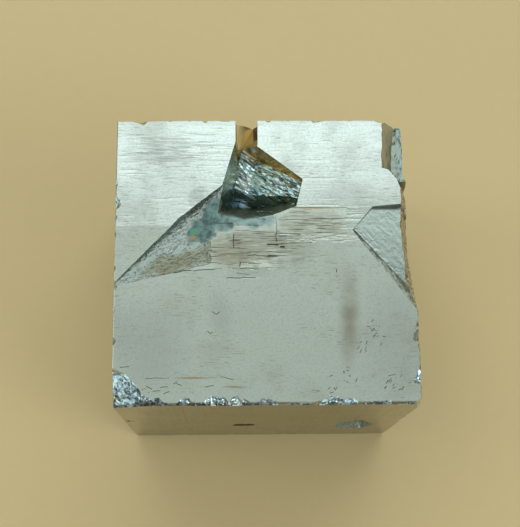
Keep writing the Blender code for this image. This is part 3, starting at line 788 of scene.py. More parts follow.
def make_side_steps():
    """Give each side its large steps and a dozen narrow ones, most from edge to edge."""
    rng = random.Random(17)
    for name, steps in SIDE_STEPS.items():
        rows = list(steps)
        for _ in range(12):
            start, end = rng.choice(((-25.5, 25.5), (-25.5, rng.uniform(-8.0, 20.0)),
                                     (rng.uniform(-20.0, 8.0), 25.5)))
            low, width = rng.uniform(-21.0, 20.0), rng.uniform(0.3, 1.4)
            deep = rng.uniform(0.03, 0.10)
            rows.append((start, end, low, low + width, deep * 0.3, deep))
        for number, row in enumerate(rows):
            terrace(FACES[name], row[0:2], row[2:4], row[4], row[5], number)


make_side_steps()

# %% [markdown]
# ## Chips and pits
#
# Every long edge of a handled crystal is nicked. A chip is a small block laid across
# the edge, cut to three slanting planes and then parted and roughened, so that no two
# look alike. `lean` lays the break more towards the one face or the other. Most chips
# are young and bright, and a few old ones are already dull. The shallow oval pits are
# imprints of much smaller neighbours.

# %% One chip
X, Y, Z = Vector((1, 0, 0)), Vector((0, 1, 0)), Vector((0, 0, 1))


def chip(name, place, first, second, length, depth, lean, seed, kind=FRESH_BREAK):
    """Break a piece off an edge, between faces whose normals are first and second."""
    first, second, place = Vector(first), Vector(second), Vector(place)
    axis = first.cross(second)
    out = (first * (1.0 - lean) + second * lean).normalized()
    side = axis.cross(out)
    reach = depth * 4.0 + 1.0
    bm = bmesh.new()
    bmesh.ops.create_cube(bm, size=1.0)
    for vert in bm.verts:
        vert.co = (place + axis * vert.co.x * (length + 2.0) + side * vert.co.y * reach * 2.0
                   + out * (vert.co.z * reach + reach * 0.5 - depth))
    rng = random.Random(seed)
    for sign in (-1, 1):
        end = place + axis * sign * length * 0.5
        keep_side(bm, end, (out * rng.uniform(0.8, 2.2) - axis * sign).normalized())
    keep_side(bm, place - out * depth * 0.75, (out + axis * rng.uniform(-0.3, 0.3)
                                               + side * rng.uniform(-0.5, 0.5)).normalized())
    middle, grain = place.dot(axis), max(0.22, depth * 0.3)
    slice_up(bm, axis, grain * 1.2, middle - length, middle + length)
    slice_up(bm, side, grain, place.dot(side) - reach, place.dot(side) + reach)
    for vert in bm.verts:
        wave = 0.5 * ridges(vert.co, axis, 0.8, 1.6, seed * 0.37) + 0.8 * facets(vert.co, 0.9, seed)
        vert.co += out * wave * min(0.2, depth * 0.25)
    take_away(bm, name, kind)


# %% The chips that stand out, and the small ones
FRONT_CHIPS = (     # name, x, length, depth, lean, and the kind where it isn't fresh
    ("front_a", -13.4, 3.0, 0.55, 0.36), ("front_b", -11.9, 2.6, 0.6, 0.24),
    ("front_c", -8.9, 3.6, 0.6, 0.30), ("front_d", -7.4, 3.0, 0.8, 0.38),
    ("front_e", -5.2, 3.2, 0.8, 0.34, OLD_BREAK), ("front_f", -3.0, 2.8, 0.6, 0.28),
    ("front_g", 0.2, 3.6, 0.5, 0.34, OLD_BREAK), ("front_h", 2.4, 3.4, 0.4, 0.42, OLD_BREAK),
    ("front_i", 8.0, 4.4, 0.5, 0.42), ("front_j", 11.0, 3.4, 0.7, 0.38),
    ("front_k", 12.9, 3.6, 0.8, 0.22), ("front_l", 18.4, 4.4, 0.4, 0.44),
    ("front_m", 21.8, 3.4, 0.5, 0.42), ("left_low", -19.9, 5.0, 0.9, 0.36),
    ("left_low_b", -17.6, 2.6, 0.5, 0.30))
OTHER_CHIPS = (
    ("front_right", (RIGHT, FRONT, TOP), X, -Y, 8.0, 1.3, 0.30),
    ("back_right", (20.2, BACK, TOP), Y, Z, 3.4, 0.9, 0.4),
    ("right_a", (RIGHT, -12.6, TOP), X, Z, 4.2, 0.8, 0.5),
    ("right_b", (RIGHT, -20.0, TOP), X, Z, 3.0, 0.6, 0.6),
    ("back_a", (-20.9, BACK, TOP), Y, Z, 3.2, 1.1, 0.55),
    ("back_b", (-12.7, BACK, TOP), Y, Z, 1.2, 0.5, 0.5),
    ("back_c", (-10.0, BACK, TOP), Y, Z, 1.4, 0.7, 0.5),
    ("back_d", (-6.1, BACK, TOP), Y, Z, 1.3, 0.6, 0.5),
    ("back_e", (0.6, BACK, TOP), Y, Z, 2.0, 0.6, 0.5),
    ("back_f", (8.8, BACK, TOP), Y, Z, 2.4, 0.6, 0.5),
    ("left_a", (LEFT, -4.4, TOP), Z, -X, 1.8, 0.6, 0.5),
    ("corner_low", (-23.8, FRONT, 26.6), -X, -Y, 1.8, 0.8, 0.5),
    ("corner_right", (24.6, FRONT, 33.6), -Y, X, 2.2, 0.5, 0.5))
CHIPS = [(name, (x, FRONT, TOP), Z, -Y, *rest) for name, x, *rest in FRONT_CHIPS]
CHIPS.extend(OTHER_CHIPS)
CHIP_SEED, PLAIN_SEED, NICK_SEED = 70, 200, 300
for number, (name, place, first, second, length, depth, lean, *kind) in enumerate(CHIPS):
    chip(f"chip_{name}", place, first, second, length, depth, lean, CHIP_SEED + number, *kind)

PLAIN_EDGES = (
    ((LEFT, 0, 0), -X, -Z), ((RIGHT, 0, 0), X, -Z), ((0, FRONT, 0), -Y, -Z),
    ((0, BACK, 0), Y, -Z), ((LEFT, BACK, HALF_UP), -X, Y), ((RIGHT, BACK, 20.0), X, Y),
    ((LEFT, FRONT, 20.0), -X, -Y), ((RIGHT, FRONT, 22.0), X, -Y), ((LEFT, 0, TOP), -X, Z),
)
PLAIN_CHIPS = 15
rng = random.Random(29)
for number in range(PLAIN_CHIPS):
    middle, first, second = PLAIN_EDGES[number % len(PLAIN_EDGES)]
    place = Vector(middle) + first.cross(second) * rng.uniform(-19.0, 19.0)
    chip(f"chip_{number}", place, first, second, rng.uniform(1.2, 4.2),
         rng.uniform(0.35, 1.0), rng.uniform(0.3, 0.7), PLAIN_SEED + number)


# %% Nicks along the top edges
def nick(name, number, start, end, first, second):
    """Strew small nicks along an edge of the top face."""
    start, end = Vector(start), Vector(end)
    for index in range(number):
        place = start.lerp(end, (index + rng.uniform(0.1, 0.9)) / number)
        chip(f"nick_{name}_{index}", place, first, second, rng.uniform(0.7, 2.4),
             rng.uniform(0.12, 0.36), rng.uniform(0.22, 0.5), NICK_SEED + index * 3,
             FRESH_BREAK if index % 3 else OLD_BREAK)


rng = random.Random(31)
nick("front", 46, (-18.0, FRONT, TOP), (24.5, FRONT, TOP), Z, -Y)
nick("right", 11, (RIGHT, -23.5, TOP), (RIGHT, -9.0, TOP), X, Z)
nick("left", 9, (LEFT, -16.0, TOP), (LEFT, 22.0, TOP), Z, -X)
nick("back", 8, (-23.0, BACK, TOP - 0.3), (17.0, BACK, TOP - 0.3), Y, Z)

# %% Pits
PITS = (
    ("front", -6.5, -17.0, 8.6, 3.2, 2.6),
    ("front", -6.1, 3.4, 1.7, 2.3, 0.9),
    ("back", 8.0, 12.5, 3.4, 2.0, 0.8),
    ("left", -9.0, -6.0, 4.2, 2.6, 0.9),
    ("right", 12.0, -11.0, 2.6, 3.6, 0.7),
)


def make_pit(number, name, along, across, half_along, half_across, depth):
    side, round_out = FACES[name], depth * 3.0
    spread = 1.0 / math.sqrt(1.0 - (1.0 - depth / round_out) ** 2)
    bm = bmesh.new()
    bmesh.ops.create_uvsphere(bm, u_segments=56, v_segments=36, radius=1.0)
    for vert in bm.verts:
        wave = (1.0 + 0.16 * noise.noise(vert.co * 2.2 + Vector((number, 0, 7.0)))
                + 0.035 * facets(vert.co * 6.0, 0.9, number + 3.0))
        vert.co = side.place(along + vert.co.x * half_along * spread * wave,
                             across + vert.co.y * half_across * spread * wave,
                             round_out - depth + vert.co.z * round_out * wave)
    take_away(bm, f"pit_{number}", OLD_BREAK)


for number, pit in enumerate(PITS):
    make_pit(number, *pit)

# %% [markdown]
# The top face also carries small dark marks: clusters of short etch pits near its
# edges, a few V-shaped ones where two etch lines meet, and a crack at the end of the
# trough. Each is a slit, a narrow and slightly crooked wedge that is pressed into the
# face. Longer and deeper slits part the stepped field into its broken treads.

# %% Slits
def slit(name, x, y, turn, length, width, depth=0.12):
    """Press a crooked wedge into the top face, turned by some degrees from the striae."""
    bm = bmesh.new()
    bmesh.ops.create_cube(bm, size=1.0)
    for vert in bm.verts:
        up = 0.3 if vert.co.z > 0 else -depth
        wide = width * (1.0 + 0.9 * up / depth)
        vert.co = Vector((vert.co.x * (length + up), vert.co.y * wide, up))
    slice_up(bm, (1, 0, 0), 0.3, -length, length)
    turned = Matrix.Rotation(math.radians(turn), 3, 'Z')
    for vert in bm.verts:
        crook = 0.13 * noise.noise(Vector((vert.co.x / 0.7, x, y))) * min(1.0, length / 2.0)
        vert.co = Vector((x, y, TOP)) + turned @ (vert.co + Vector((0, crook, 0)))
    take_away(bm, f"slit_{name}", STAINED_BREAK)


# %% Where the slits are
MARKS = (
    (-8.5, -9.2, -32, 0.8, 0.14), (-7.9, -9.2, 34, 0.7, 0.14), (-9.4, -12.4, -35, 0.6, 0.14),
    (-9.0, -12.5, 30, 0.5, 0.13), (-13.7, 3.3, -66, 1.2, 0.18), (-13.0, 2.5, -38, 1.3, 0.2),
    (-17.6, -19.85, 0, 4.0, 0.11), (-6.4, -19.9, -12, 2.2, 0.11), (-14.8, -20.6, 35, 0.8, 0.14),
    (-14.2, -20.9, -25, 1.0, 0.14), (-19.0, -21.4, -30, 1.0, 0.15), (-17.8, -21.9, 8, 1.2, 0.14),
    (-16.6, -21.3, 5, 1.2, 0.12), (-16.2, -22.2, 20, 1.0, 0.14), (-9.3, -21.2, 12, 1.4, 0.13),
    (11.7, -2.2, 88, 0.6, 0.15), (-23.0, -18.0, 4, 1.5, 0.13), (20.2, -19.6, 12, 1.2, 0.13))
for number, mark_here in enumerate(MARKS):
    slit(f"mark_{number}", *mark_here)

FIELD_MARKS = (
    (-5.3, 3.0, 90, 2.7, 0.22), (1.8, 5.4, 89, 5.4, 0.24), (-1.7, 4.7, -3, 7.0, 0.16),
    (-3.7, 5.8, -3, 8.3, 0.13), (1.2, 2.4, 0, 2.2, 0.42), (2.8, 2.0, 0, 1.0, 0.6),
    (-7.9, 0.5, 6, 2.8, 0.15), (-4.3, -1.0, 84, 0.9, 0.22), (-4.1, -3.3, 1, 4.9, 0.11),
    (-3.8, -2.6, -5, 2.2, 0.10), (-1.1, 0.5, -3, 4.1, 0.13), (-15.5, -2.4, 8, 6.6, 0.12),
    (-8.6, -0.7, -5, 2.8, 0.13), (-1.8, -0.9, -2, 2.3, 0.10), (-3.4, -1.7, -2, 4.6, 0.10),
    (-5.1, 0.9, 2, 5.6, 0.12), (3.6, 4.2, -1, 4.6, 0.11), (5.0, 2.6, 0, 5.4, 0.10),
    (6.2, 6.7, 1, 8.0, 0.11), (-9.6, -1.9, 5, 5.0, 0.11), (0.2, 3.7, 0, 3.0, 0.13))
for number, mark_here in enumerate(FIELD_MARKS):
    slit(f"step_{number}", *mark_here, depth=0.5)

rng = random.Random(41)
ETCH_TURNS = (50, 62, 8, -14)       # degrees from the striae
CLUSTERS = ((17.6, -12.8, 1.3, 1.9, 17), (15.7, -15.0, 0.9, 0.8, 6), (12.3, -19.2, 1.6, 1.3, 9),
            (20.3, -21.0, 1.9, 1.1, 12), (10.0, -22.0, 2.6, 0.8, 7), (-20.4, -21.8, 1.5, 0.7, 5))
for group, (x, y, half_x, half_y, count) in enumerate(CLUSTERS):
    for number in range(count):
        slit(f"etch_{group}_{number}",
             x + rng.gauss(0, 0.6) * half_x, y + rng.gauss(0, 0.6) * half_y,
             rng.choice(ETCH_TURNS) + rng.uniform(-16, 16), rng.uniform(0.2, 0.7),
             rng.uniform(0.10, 0.2), rng.uniform(0.06, 0.14))

# %% [markdown]
# ## Taking it all away
#
# One Boolean with the whole collection as its operand takes every missing piece away
# at once. The Manifold solver does that in seconds on meshes of this size, and asks
# only that each of them is closed. Edges that are too short to matter are then closed
# up. All faces stay flat-shaded: so each broken facet glints by itself, and a growth
# step keeps its sharp riser.
#
# The striae map is a second way to say where a point lies: along and across the
# striae of its own face, so that the metal can later be drawn out along them.

# %% The Boolean
def take_all_away(whole, sliver):
    cut = whole.modifiers.new("take away", 'BOOLEAN')
    cut.operation, cut.solver = 'DIFFERENCE', 'MANIFOLD'
    cut.operand_type, cut.collection = 'COLLECTION', missing
    mesh = bpy.data.meshes.new_from_object(
        whole.evaluated_get(bpy.context.evaluated_depsgraph_get()))
    whole.modifiers.remove(cut)
    bm = bmesh.new()
    bm.from_mesh(mesh)
    bmesh.ops.triangulate(bm, faces=bm.faces[:])
    bmesh.ops.dissolve_degenerate(bm, dist=sliver * MM, edges=bm.edges[:])
    bmesh.ops.triangulate(bm, faces=bm.faces[:])
    open_edges = sum(len(edge.link_faces) != 2 for edge in bm.edges)
    bm.to_mesh(mesh)
    bm.free()
    whole.data = mesh
    return open_edges


scene.collection.children.link(missing)
open_edges = take_all_away(crystal, 0.0002)
for cutter in list(missing.objects):
    bpy.data.objects.remove(cutter, do_unlink=True)
bpy.data.collections.remove(missing)
print("triangles:", len(crystal.data.polygons), "open edges:", open_edges)


# %% The striae map
def lay_striae_map(mesh):
    """Give each face of the cube its places along and across the striae, as a UV map."""
    count = len(mesh.polygons)
    normals, corners = np.zeros(count * 3), np.zeros(len(mesh.vertices) * 3)
    mesh.polygons.foreach_get("normal", normals)
    mesh.vertices.foreach_get("co", corners)
    loops = np.zeros(count * 3, dtype=np.int64)
    mesh.loops.foreach_get("vertex_index", loops)
    points = corners.reshape(-1, 3)[loops] * 1000.0
    sides = list(FACES.values())
    facing = np.argmax(normals.reshape(-1, 3) @ np.array([s.normal for s in sides]).T, axis=1)
    places = np.zeros((count * 3, 2))
    for index, side in enumerate(sides):
        own = np.repeat(facing == index, 3)
        away = points[own] - np.array(side.middle)
        places[own, 0] = away @ np.array(side.along) + 100.0 * index
        places[own, 1] = away @ np.array(side.across)
    mesh.uv_layers.new(name="striae").uv.foreach_set("vector", places.ravel())
    return {side.name: int((facing == index).sum()) for index, side in enumerate(sides)}


def count_kinds(mesh):
    kinds = np.zeros(len(mesh.polygons))
    mesh.attributes["kind"].data.foreach_get("value", kinds)
    return [int((kinds == kind).sum())
            for kind in (GROWN, CONTACT, OLD_BREAK, FRESH_BREAK, STAINED_BREAK)]


crystal.data.shade_flat()
print("triangles that face each way:", lay_striae_map(crystal.data))
print("grown, contact, old, fresh and stained breaks:", count_kinds(crystal.data))

# %% [markdown]
# ## Writing a material as sums
#
# A material is a web of nodes, and a web is hard to read. So a number that changes
# over the surface is wrapped in a small class whose plus, minus and times signs add
# the Math nodes. Everything else, a noise, a ramp, a mix of colours, comes from one
# method that makes any node from its type, its settings and its inputs.

# %% A number that changes over the surface
class Number:
    """A socket that carries a number, so that shader maths reads as plain sums."""

    def __init__(self, surface, socket):
        self.surface, self.socket = surface, socket

    def math(self, operation, *parts):
        return self.surface.node('ShaderNodeMath', {"operation": operation}, dict(enumerate(parts)))

    def __add__(self, other):
        return self.math('ADD', self, other)

    def __sub__(self, other):
        return self.math('SUBTRACT', self, other)

    def __rsub__(self, other):
        return self.math('SUBTRACT', other, self)

    def __mul__(self, other):
        return self.math('MULTIPLY', self, other)

    def __or__(self, other):
        return self.math('MAXIMUM', self, other)

    __radd__, __rmul__ = __add__, __mul__


# %% A material in the making
class Surface:
    """A material with one shader, and short ways to make what drives it."""

    def __init__(self, name):
        self.material = bpy.data.materials.new(name)
        self.material.use_nodes = True
        self.tree = self.material.node_tree
        self.shader = self.tree.nodes["Principled BSDF"]
        places = self.node('ShaderNodeTexCoord', output="Object")
        self.place = self.vector('SCALE', places, 1000.0)
        self.striae = self.node('ShaderNodeUVMap', {"uv_map": "striae"})
        self.x, self.y, self.z = (self.node('ShaderNodeSeparateXYZ', inputs={0: self.place},
                                            output=axis) for axis in "XYZ")
        self.kind = self.node('ShaderNodeAttribute', {"attribute_name": "kind"}, output="Fac")
        self.coats = 0

    def node(self, kind, settings=None, inputs=None, output=0):
        made = self.tree.nodes.new(kind)
        for key, value in (settings or {}).items():
            setattr(made, key, value)
        for key, value in (inputs or {}).items():
            if isinstance(value, Number):
                self.tree.links.new(value.socket, made.inputs[key])
            else:
                made.inputs[key].default_value = value
        return Number(self, made.outputs[output])

    def drive(self, **inputs):
        """Link numbers or colours to the shader's sockets, or set them."""
        for name, value in inputs.items():
            socket = self.shader.inputs[name.replace("_", " ")]
            if isinstance(value, Number):
                self.tree.links.new(value.socket, socket)
            else:
                socket.default_value = value

    def vector(self, operation, first, second):
        """Vector Math; what SCALE multiplies by is a number, and it has a socket of its own."""
        return self.node('ShaderNodeVectorMath', {"operation": operation},
                         {0: first, "Scale" if operation == 'SCALE' else 1: second})

    def rise(self, value, low, high):
        """0 below low and 1 above high, with a soft way between; it may run down too."""
        return self.node('ShaderNodeMapRange', {"interpolation_type": 'SMOOTHSTEP'},
                         {"Value": value, "From Min": low, "From Max": high})

    def noise(self, at, size, detail=2.0, stretch=(1, 1, 1), seed=0.0):
        """Noise from 0 to 1 whose blots are about size long, or longer where stretched."""
        spread = tuple(1.0 / (size * s) for s in stretch)
        moved = self.node('ShaderNodeMapping', inputs={"Vector": at, "Scale": spread,
                                                       "Location": (seed, seed * 1.3, seed * 0.7)})
        return self.node('ShaderNodeTexNoise', inputs={"Vector": moved, "Scale": 1.0,
                                                       "Detail": detail})

    def spot(self, middle, half, turn=0.0, edge=0.5, at=None, deep=3.0):
        """1 inside an oval on the top face, fading out over its rim and in the depth."""
        into = self.node('ShaderNodeMapping', {"vector_type": 'TEXTURE'}, {
            "Vector": at or self.place, "Location": (*middle, TOP), "Scale": (*half, deep),
            "Rotation": (0, 0, math.radians(turn))})
        away = self.node('ShaderNodeVectorMath', {"operation": 'LENGTH'}, {0: into}, "Value")
        return self.rise(away, 1.0, 1.0 - edge)

    def tint(self, below, above, amount):
        """Lay one colour over another."""
        return self.node('ShaderNodeMix', {"data_type": 'RGBA'},
                         {0: amount, 6: colour(below), 7: colour(above)}, output=2)

    def paint(self, base, *coats):
        """Lay coats of colour over a base, one by one, each as (colour, amount)."""
        for tone, amount in coats:
            base = self.tint(base, tone, amount)
        self.coats += len(coats)
        return base


def colour(value):
    return value if isinstance(value, Number) else (*value, 1.0)


pyrite = Surface("pyrite")
print("nodes so far:", len(pyrite.tree.nodes))

# %% [markdown]
# ## Where the striae show
#
# A mask is a number from 0 to 1 that says where something shows. The first ones read
# the kind of each face and where it lies, and every later layer is made of them.
#
# The net of the mesh holds the striae that are wider than 0.2 mm. The finest ones,
# and the grain between them, are drawn by noise that is stretched along the striae
# map: it changes ten times in a millimetre across and once in several along. Where
# that noise is highest it makes thin dark lines, the shadowed feet of the steps.

# %% Striae and grain
m = pyrite              # a short name, because it stands in every sum
grown = m.rise(m.kind, 0.9, 0.1)
contact = m.rise(m.kind, 0.1, 0.9) * m.rise(m.kind, 1.9, 1.1)
broken = m.rise(m.kind, 1.1, 1.9)
fresh = m.rise(m.kind, 2.1, 2.9)
stained = m.rise(m.kind, 3.1, 3.9)
front = m.rise(m.y, FRONT + 0.6, FRONT + 0.3)
top = m.rise(m.z, TOP - 0.85, TOP - 0.65) * grown
top_edge = m.rise(m.z, TOP - 6.0, TOP - 5.0)
# Painted light: behind a crease the top face is painted brighter, and more so towards its back
# edge, where it mirrors the large panel.
painted_back_sheen = (m.rise(m.y, 5.3, 5.9) * m.rise(m.x, -2.0, -3.0)
          | (m.rise(m.y, 8.4, 8.9) * 0.45 + m.rise(m.y, 8.4, 15.0) * 0.55)
          * m.rise(m.x, -3.0, -2.0)) * top

fine = m.noise(m.striae, 0.22, 2.0, (16, 1, 1))
coarse = m.noise(m.striae, 0.7, 2.0, (20, 1, 1), seed=3.0)
grain = m.noise(m.place, 0.35, 3.0)
cloud = m.noise(m.place, 7.0, 3.0, seed=5.0)
dashes = m.noise(m.striae, 0.2, 2.0, (7, 1, 1), seed=14.0)
lines = m.rise(dashes, 0.58, 0.68) * m.rise(cloud, 0.42, 0.60)
print("nodes with the striae:", len(m.tree.nodes))

# %% [markdown]
# ## Tarnish and stains
#
# Iron sulphide tarnishes in thin films, and their colours are only colour: nothing
# stands up from the face. The stepped field is brownish, the end of the trough next
# to the hollow carries a blue-green film with a green and an orange-brown fleck, and
# rust has gathered in a few long steps. Ovals with a ragged rim are enough for all of
# them: a little noise is added to the place before it is measured.

# %% Stains on the top face
def wander(amount, size):
    """A place that is moved about a little, so that a stain's rim is ragged."""
    shake = m.node('ShaderNodeTexNoise', inputs={"Vector": m.place, "Scale": 1.0 / size,
                                                 "Detail": 3.0}, output="Color")
    pushed = m.vector('SCALE', m.vector('SUBTRACT', shake, (0.5, 0.5, 0.5)), amount)
    return m.vector('ADD', m.place, m.vector('MULTIPLY', pushed, (1, 1, 0)))


ragged = wander(2.6, 1.6)
streaky = m.noise(m.striae, 0.35, 3.0, (9, 1, 1), seed=8.0)
field_step_shade = m.noise(m.striae, 0.3, 1.0, (12, 1, 1), seed=23.0)
film = (m.spot((-10.6, 5.2), (3.4, 2.6), 35, 0.35, ragged)
        | m.spot((-6.6, 6.6), (3.9, 1.9), 14, 0.35, ragged)
        | m.spot((-9.0, 8.4), (1.7, 3.0), -35, 0.4, ragged)
        | m.spot((-1.6, 6.6), (4.0, 1.5), -2, 0.4, ragged))
green = m.spot((-11.7, 5.0), (1.1, 0.75), 10, 0.8, ragged)
rusty = m.spot((-12.2, 3.8), (1.3, 0.55), 20, 0.6)
field = (m.spot((-2.0, 1.8), (13.0, 4.6), 0, 0.6, ragged)
         | m.spot((7.6, 5.9), (7.2, 3.1), 0, 0.5, ragged))
brown = m.spot((-6.0, 0.9), (5.4, 3.4), 0, 0.7, ragged)
smear = m.spot((13.6, -10.3), (2.4, 10.8), -3, 0.95) * m.rise(m.noise(m.place, 2.6), 0.05, 0.6)
back_left = m.spot((-17.0, 18.2), (8.6, 3.6), 0, 0.6, ragged) * m.rise(streaky, 0.38, 0.55)
dull = (m.spot((-7.6, -9.5), (3.0, 6.0), 10, 0.9) * 0.5
        | m.spot((-20.0, -15.0), (11.0, 12.0), 0, 0.9) * 0.7
        | m.spot((21.0, -14.0), (8.0, 13.0), 0, 0.9) * 0.4
        | m.spot((-17.0, 14.0), (9.0, 12.0), 0, 0.9) * 0.25
        | m.spot((14.0, 11.0), (9.0, 4.0), 0, 0.9) * 0.6
        | back_left
        | m.spot((-11.4, 10.8), (2.6, 2.0), 55, 0.7, ragged) * 0.8)
fan = (m.spot((-15.2, -0.7), (7.4, 2.3), 15, 0.6, ragged)
       | m.spot((-8.8, 1.2), (3.4, 3.2), 15, 0.5, ragged) * 0.7) * broken
rust = (m.spot((-12.0, -19.85), (4.2, 0.26), 0, 0.9)
        | m.spot((-5.2, -21.35), (2.6, 0.24), -2, 0.9)
        | m.spot((7.8, 8.65), (6.4, 0.2), -1, 0.9))
print("nodes with the stains:", len(m.tree.nodes))

# %% [markdown]
# ## Coats of colour
#
# The metal is painted in coats, as a model maker would: a ground colour, and over it
# one coat after another, each a colour and a mask. A later coat hides an earlier one
# where its mask is 1. The first coats are for the grown faces: a painted sheen on the
# top face behind its crease, brighter towards the back edge, darker lines of painted
# shade at the feet of the striae, a dull haze, the brown of the stepped field with
# painted shade at the feet of its steps, and rust.

# %% The grown faces
PAINTED_SHEEN, DULL, AGED = (0.62, 0.66, 0.62), (0.50, 0.53, 0.475), (0.47, 0.43, 0.31)
metal = m.paint(
    AGED,
    (DULL, top),
    # painted sheen on the back of the top face
    (PAINTED_SHEEN, painted_back_sheen),
    # painted shade: dark lines at the feet of the striae
    ((0.24, 0.25, 0.22), lines * grown * 0.6),
    ((0.36, 0.36, 0.30), m.rise(cloud, 0.45, 0.75) * 0.45 * top),
    ((0.30, 0.31, 0.27), m.rise(grain, 0.45, 0.75) * top * 0.3),
    ((0.30, 0.31, 0.28), dull * top * 0.6),
    ((0.28, 0.25, 0.17), field * top * (m.rise(streaky, 0.38, 0.58) * 0.42 + 0.15)),
    ((0.25, 0.22, 0.145), brown * top * 0.58),
    ((0.20, 0.17, 0.11), field * top * m.rise(fine, 0.5, 0.60) * 0.5),
    # painted shade at the feet of the steps in the field
    ((0.12, 0.11, 0.08), field * top * m.rise(field_step_shade, 0.60, 0.65) * 0.85),
    ((0.27, 0.24, 0.18), smear * top * 0.8),
    ((0.36, 0.22, 0.09), rust * top * 0.85))
print("coats of colour so far:", m.coats)

# %% [markdown]
# The contact walls are brassy. Inside the groove they are a brighter gold, partly their
# brass and partly a painted reflection, with a nearly black stripe of painted shade
# beside the right wall; the left wall is painted paler and the right wall of the hollow
# orange, as painted reflections: the right wall mirrors the walls across from it.

# %% The contact walls
in_groove = contact * m.rise(m.y, 20.6, 21.4)
metal = m.paint(
    metal,
    ((0.58, 0.47, 0.28), contact),
    # partly painted reflection: a brighter gold inside the groove
    ((0.77, 0.62, 0.34), in_groove),
    # painted shade: a nearly black stripe beside the groove's right wall
    ((0.15, 0.12, 0.07), in_groove * m.rise(m.x, -1.9, -1.7)),
    # painted reflections: the paler left wall and the orange right wall of the hollow
    ((0.52, 0.54, 0.39), contact * m.rise(m.y, 20.8, 19.8) * m.rise(m.x, -2.6, -3.4)),
    ((0.72, 0.38, 0.09), contact * m.rise(m.y, 20.6, 19.0) * m.rise(m.x, -3.0, 0.0)))
print("coats of colour so far:", m.coats)

# %% [markdown]
# Broken metal is bluish grey. In the hollow, dark streaks of painted shade lie along the
# ridges of the floor, and a pale spot on the floor is a painted highlight; the trough and
# the ledge are duller than the scar; and the scar has a dark line of painted shade along
# its back wall and a crumbly front rim.

# %% The old breaks
in_hollow = m.spot((-0.5, 13.5), (8.5, 9.0), 0, 0.1, deep=30.0) * m.rise(m.z, TOP - 0.9, TOP - 1.4)
along_floor = m.node('ShaderNodeMapping', inputs={"Vector": m.place,
                                                  "Rotation": (0, 0, math.radians(34.8))})
floor_ridge_shade = m.noise(along_floor, 0.34, 3.0, (8, 1, 2), seed=27.0)
speck = m.noise(m.place, 0.38, 4.0, seed=31.0)
scar_wall_shade = m.rise(m.y, 8.5, 8.9) * m.rise(m.x, 16.0, 17.5) * m.rise(m.y, 9.9, 9.7)
beside_notch = (m.rise(m.y, 9.6, 10.4) * m.rise(m.x, 12.0, 13.0)
                * m.rise(m.x + coarse * 2.0, 25.4, 23.4))
crumbly = broken * (m.spot((21.2, -3.9), (6.4, 1.1), -53, 0.4, ragged)
                    | m.spot((16.4, 2.0), (3.6, 0.7), -48, 0.4, ragged)) * m.rise(m.z, 46.0, 47.0)
metal = m.paint(
    metal,
    ((0.58, 0.66, 0.65), broken),
    ((0.50, 0.63, 0.65), broken * in_hollow),
    # painted highlight on the floor of the hollow
    ((0.92, 1.0, 1.0), broken * m.spot((-3.2, 14.8), (2.2, 2.2), 0, 0.9, deep=30.0)),
    # painted shade: dark streaks along the ridges of the floor
    ((0.06, 0.09, 0.09), broken * in_hollow * m.rise(floor_ridge_shade, 0.50, 0.62) * 0.8),
    ((0.62, 0.47, 0.22), broken * m.spot((-2.6, 20.0), (2.3, 0.6), -45, 0.35, deep=30.0) * 0.85),
    ((0.52, 0.64, 0.72), broken * m.rise(m.z, 43.4, 42.4)),
    ((0.27, 0.30, 0.27), broken * m.spot((-16.0, 2.0), (17.0, 8.5), 35, 0.2)),
    ((0.43, 0.48, 0.435), broken * m.rise(m.x, 11.0, 12.0) * m.rise(m.y, 10.6, 9.8)),
    ((0.28, 0.34, 0.32), broken * m.rise(m.y, 12.0, 13.0) * m.rise(m.x, 15.0, 17.0)),
    ((0.27, 0.30, 0.25), broken * beside_notch),
    # painted shade: a dark line along the scar's back wall
    ((0.11, 0.12, 0.10), broken * scar_wall_shade * 0.75),
    ((0.17, 0.155, 0.095), fan * (m.rise(streaky, 0.2, 0.6) * 0.4 + 0.5)),
    ((0.50, 0.54, 0.47), crumbly * 0.9),
    ((0.14, 0.15, 0.13), crumbly * m.rise(speck, 0.50, 0.60) * 0.8))
print("coats of colour so far:", m.coats)

# %% [markdown]
# A fresh break is the brightest metal of all. In the crushed corner dark shards, painted
# reflections of the dim room, lie between the bright ones, thickest towards the front,
# and dark specks of the same painted reflection lie on the fresh breaks near the top;
# two dark crescents of painted shade bound the corner; the chips under the front edge
# have dark brown specks.

# %% The fresh breaks
dark_shard_reflections = m.noise(m.place, 1.1, 1.0, seed=37.0)
crescent_shade = (m.spot((-23.6, -17.6), (2.2, 0.30), -38, 0.5, ragged)
            | m.spot((-21.4, -20.3), (0.3, 1.7), -20, 0.5, ragged))
in_corner = m.rise(m.y, -20.6, -22.0) * m.rise(m.x, -16.5, -18.0)
under_edge = m.rise(m.y + speck * 2.0, FRONT + 2.3, FRONT + 1.2) * m.rise(m.x, 0.0, -4.0)
metal = m.paint(
    metal,
    ((0.62, 0.76, 0.79), fresh),
    ((0.36, 0.47, 0.46), fresh * m.spot((-25.0, -24.5), (9.0, 9.0), 0, 0.1, deep=30.0) * 0.3),
    # painted reflections: dark shards in the crushed corner
    ((0.10, 0.13, 0.13), fresh * top_edge * in_corner * m.rise(dark_shard_reflections, 0.50, 0.54) * 0.65),
    # painted reflections: dark specks on fresh breaks near the top
    ((0.09, 0.11, 0.11), fresh * top_edge * m.rise(speck, 0.52, 0.62)
     * (0.55 + m.rise(m.y, -20.0, -22.5) * 0.35)),
    # painted shade: two dark crescents at the rim of the crushed corner
    ((0.05, 0.07, 0.07), fresh * top_edge * crescent_shade * 0.8),
    ((0.13, 0.10, 0.085), fresh * under_edge * m.rise(grain, 0.35, 0.60) * 0.8))
print("coats of colour so far:", m.coats)

# %% [markdown]
# A stained break has lost its shine: the slits and marks are painted nearly black, painted
# shade in their narrow recesses, and the spalled edge is brown with dark specks and with
# bright specks that are painted glints.

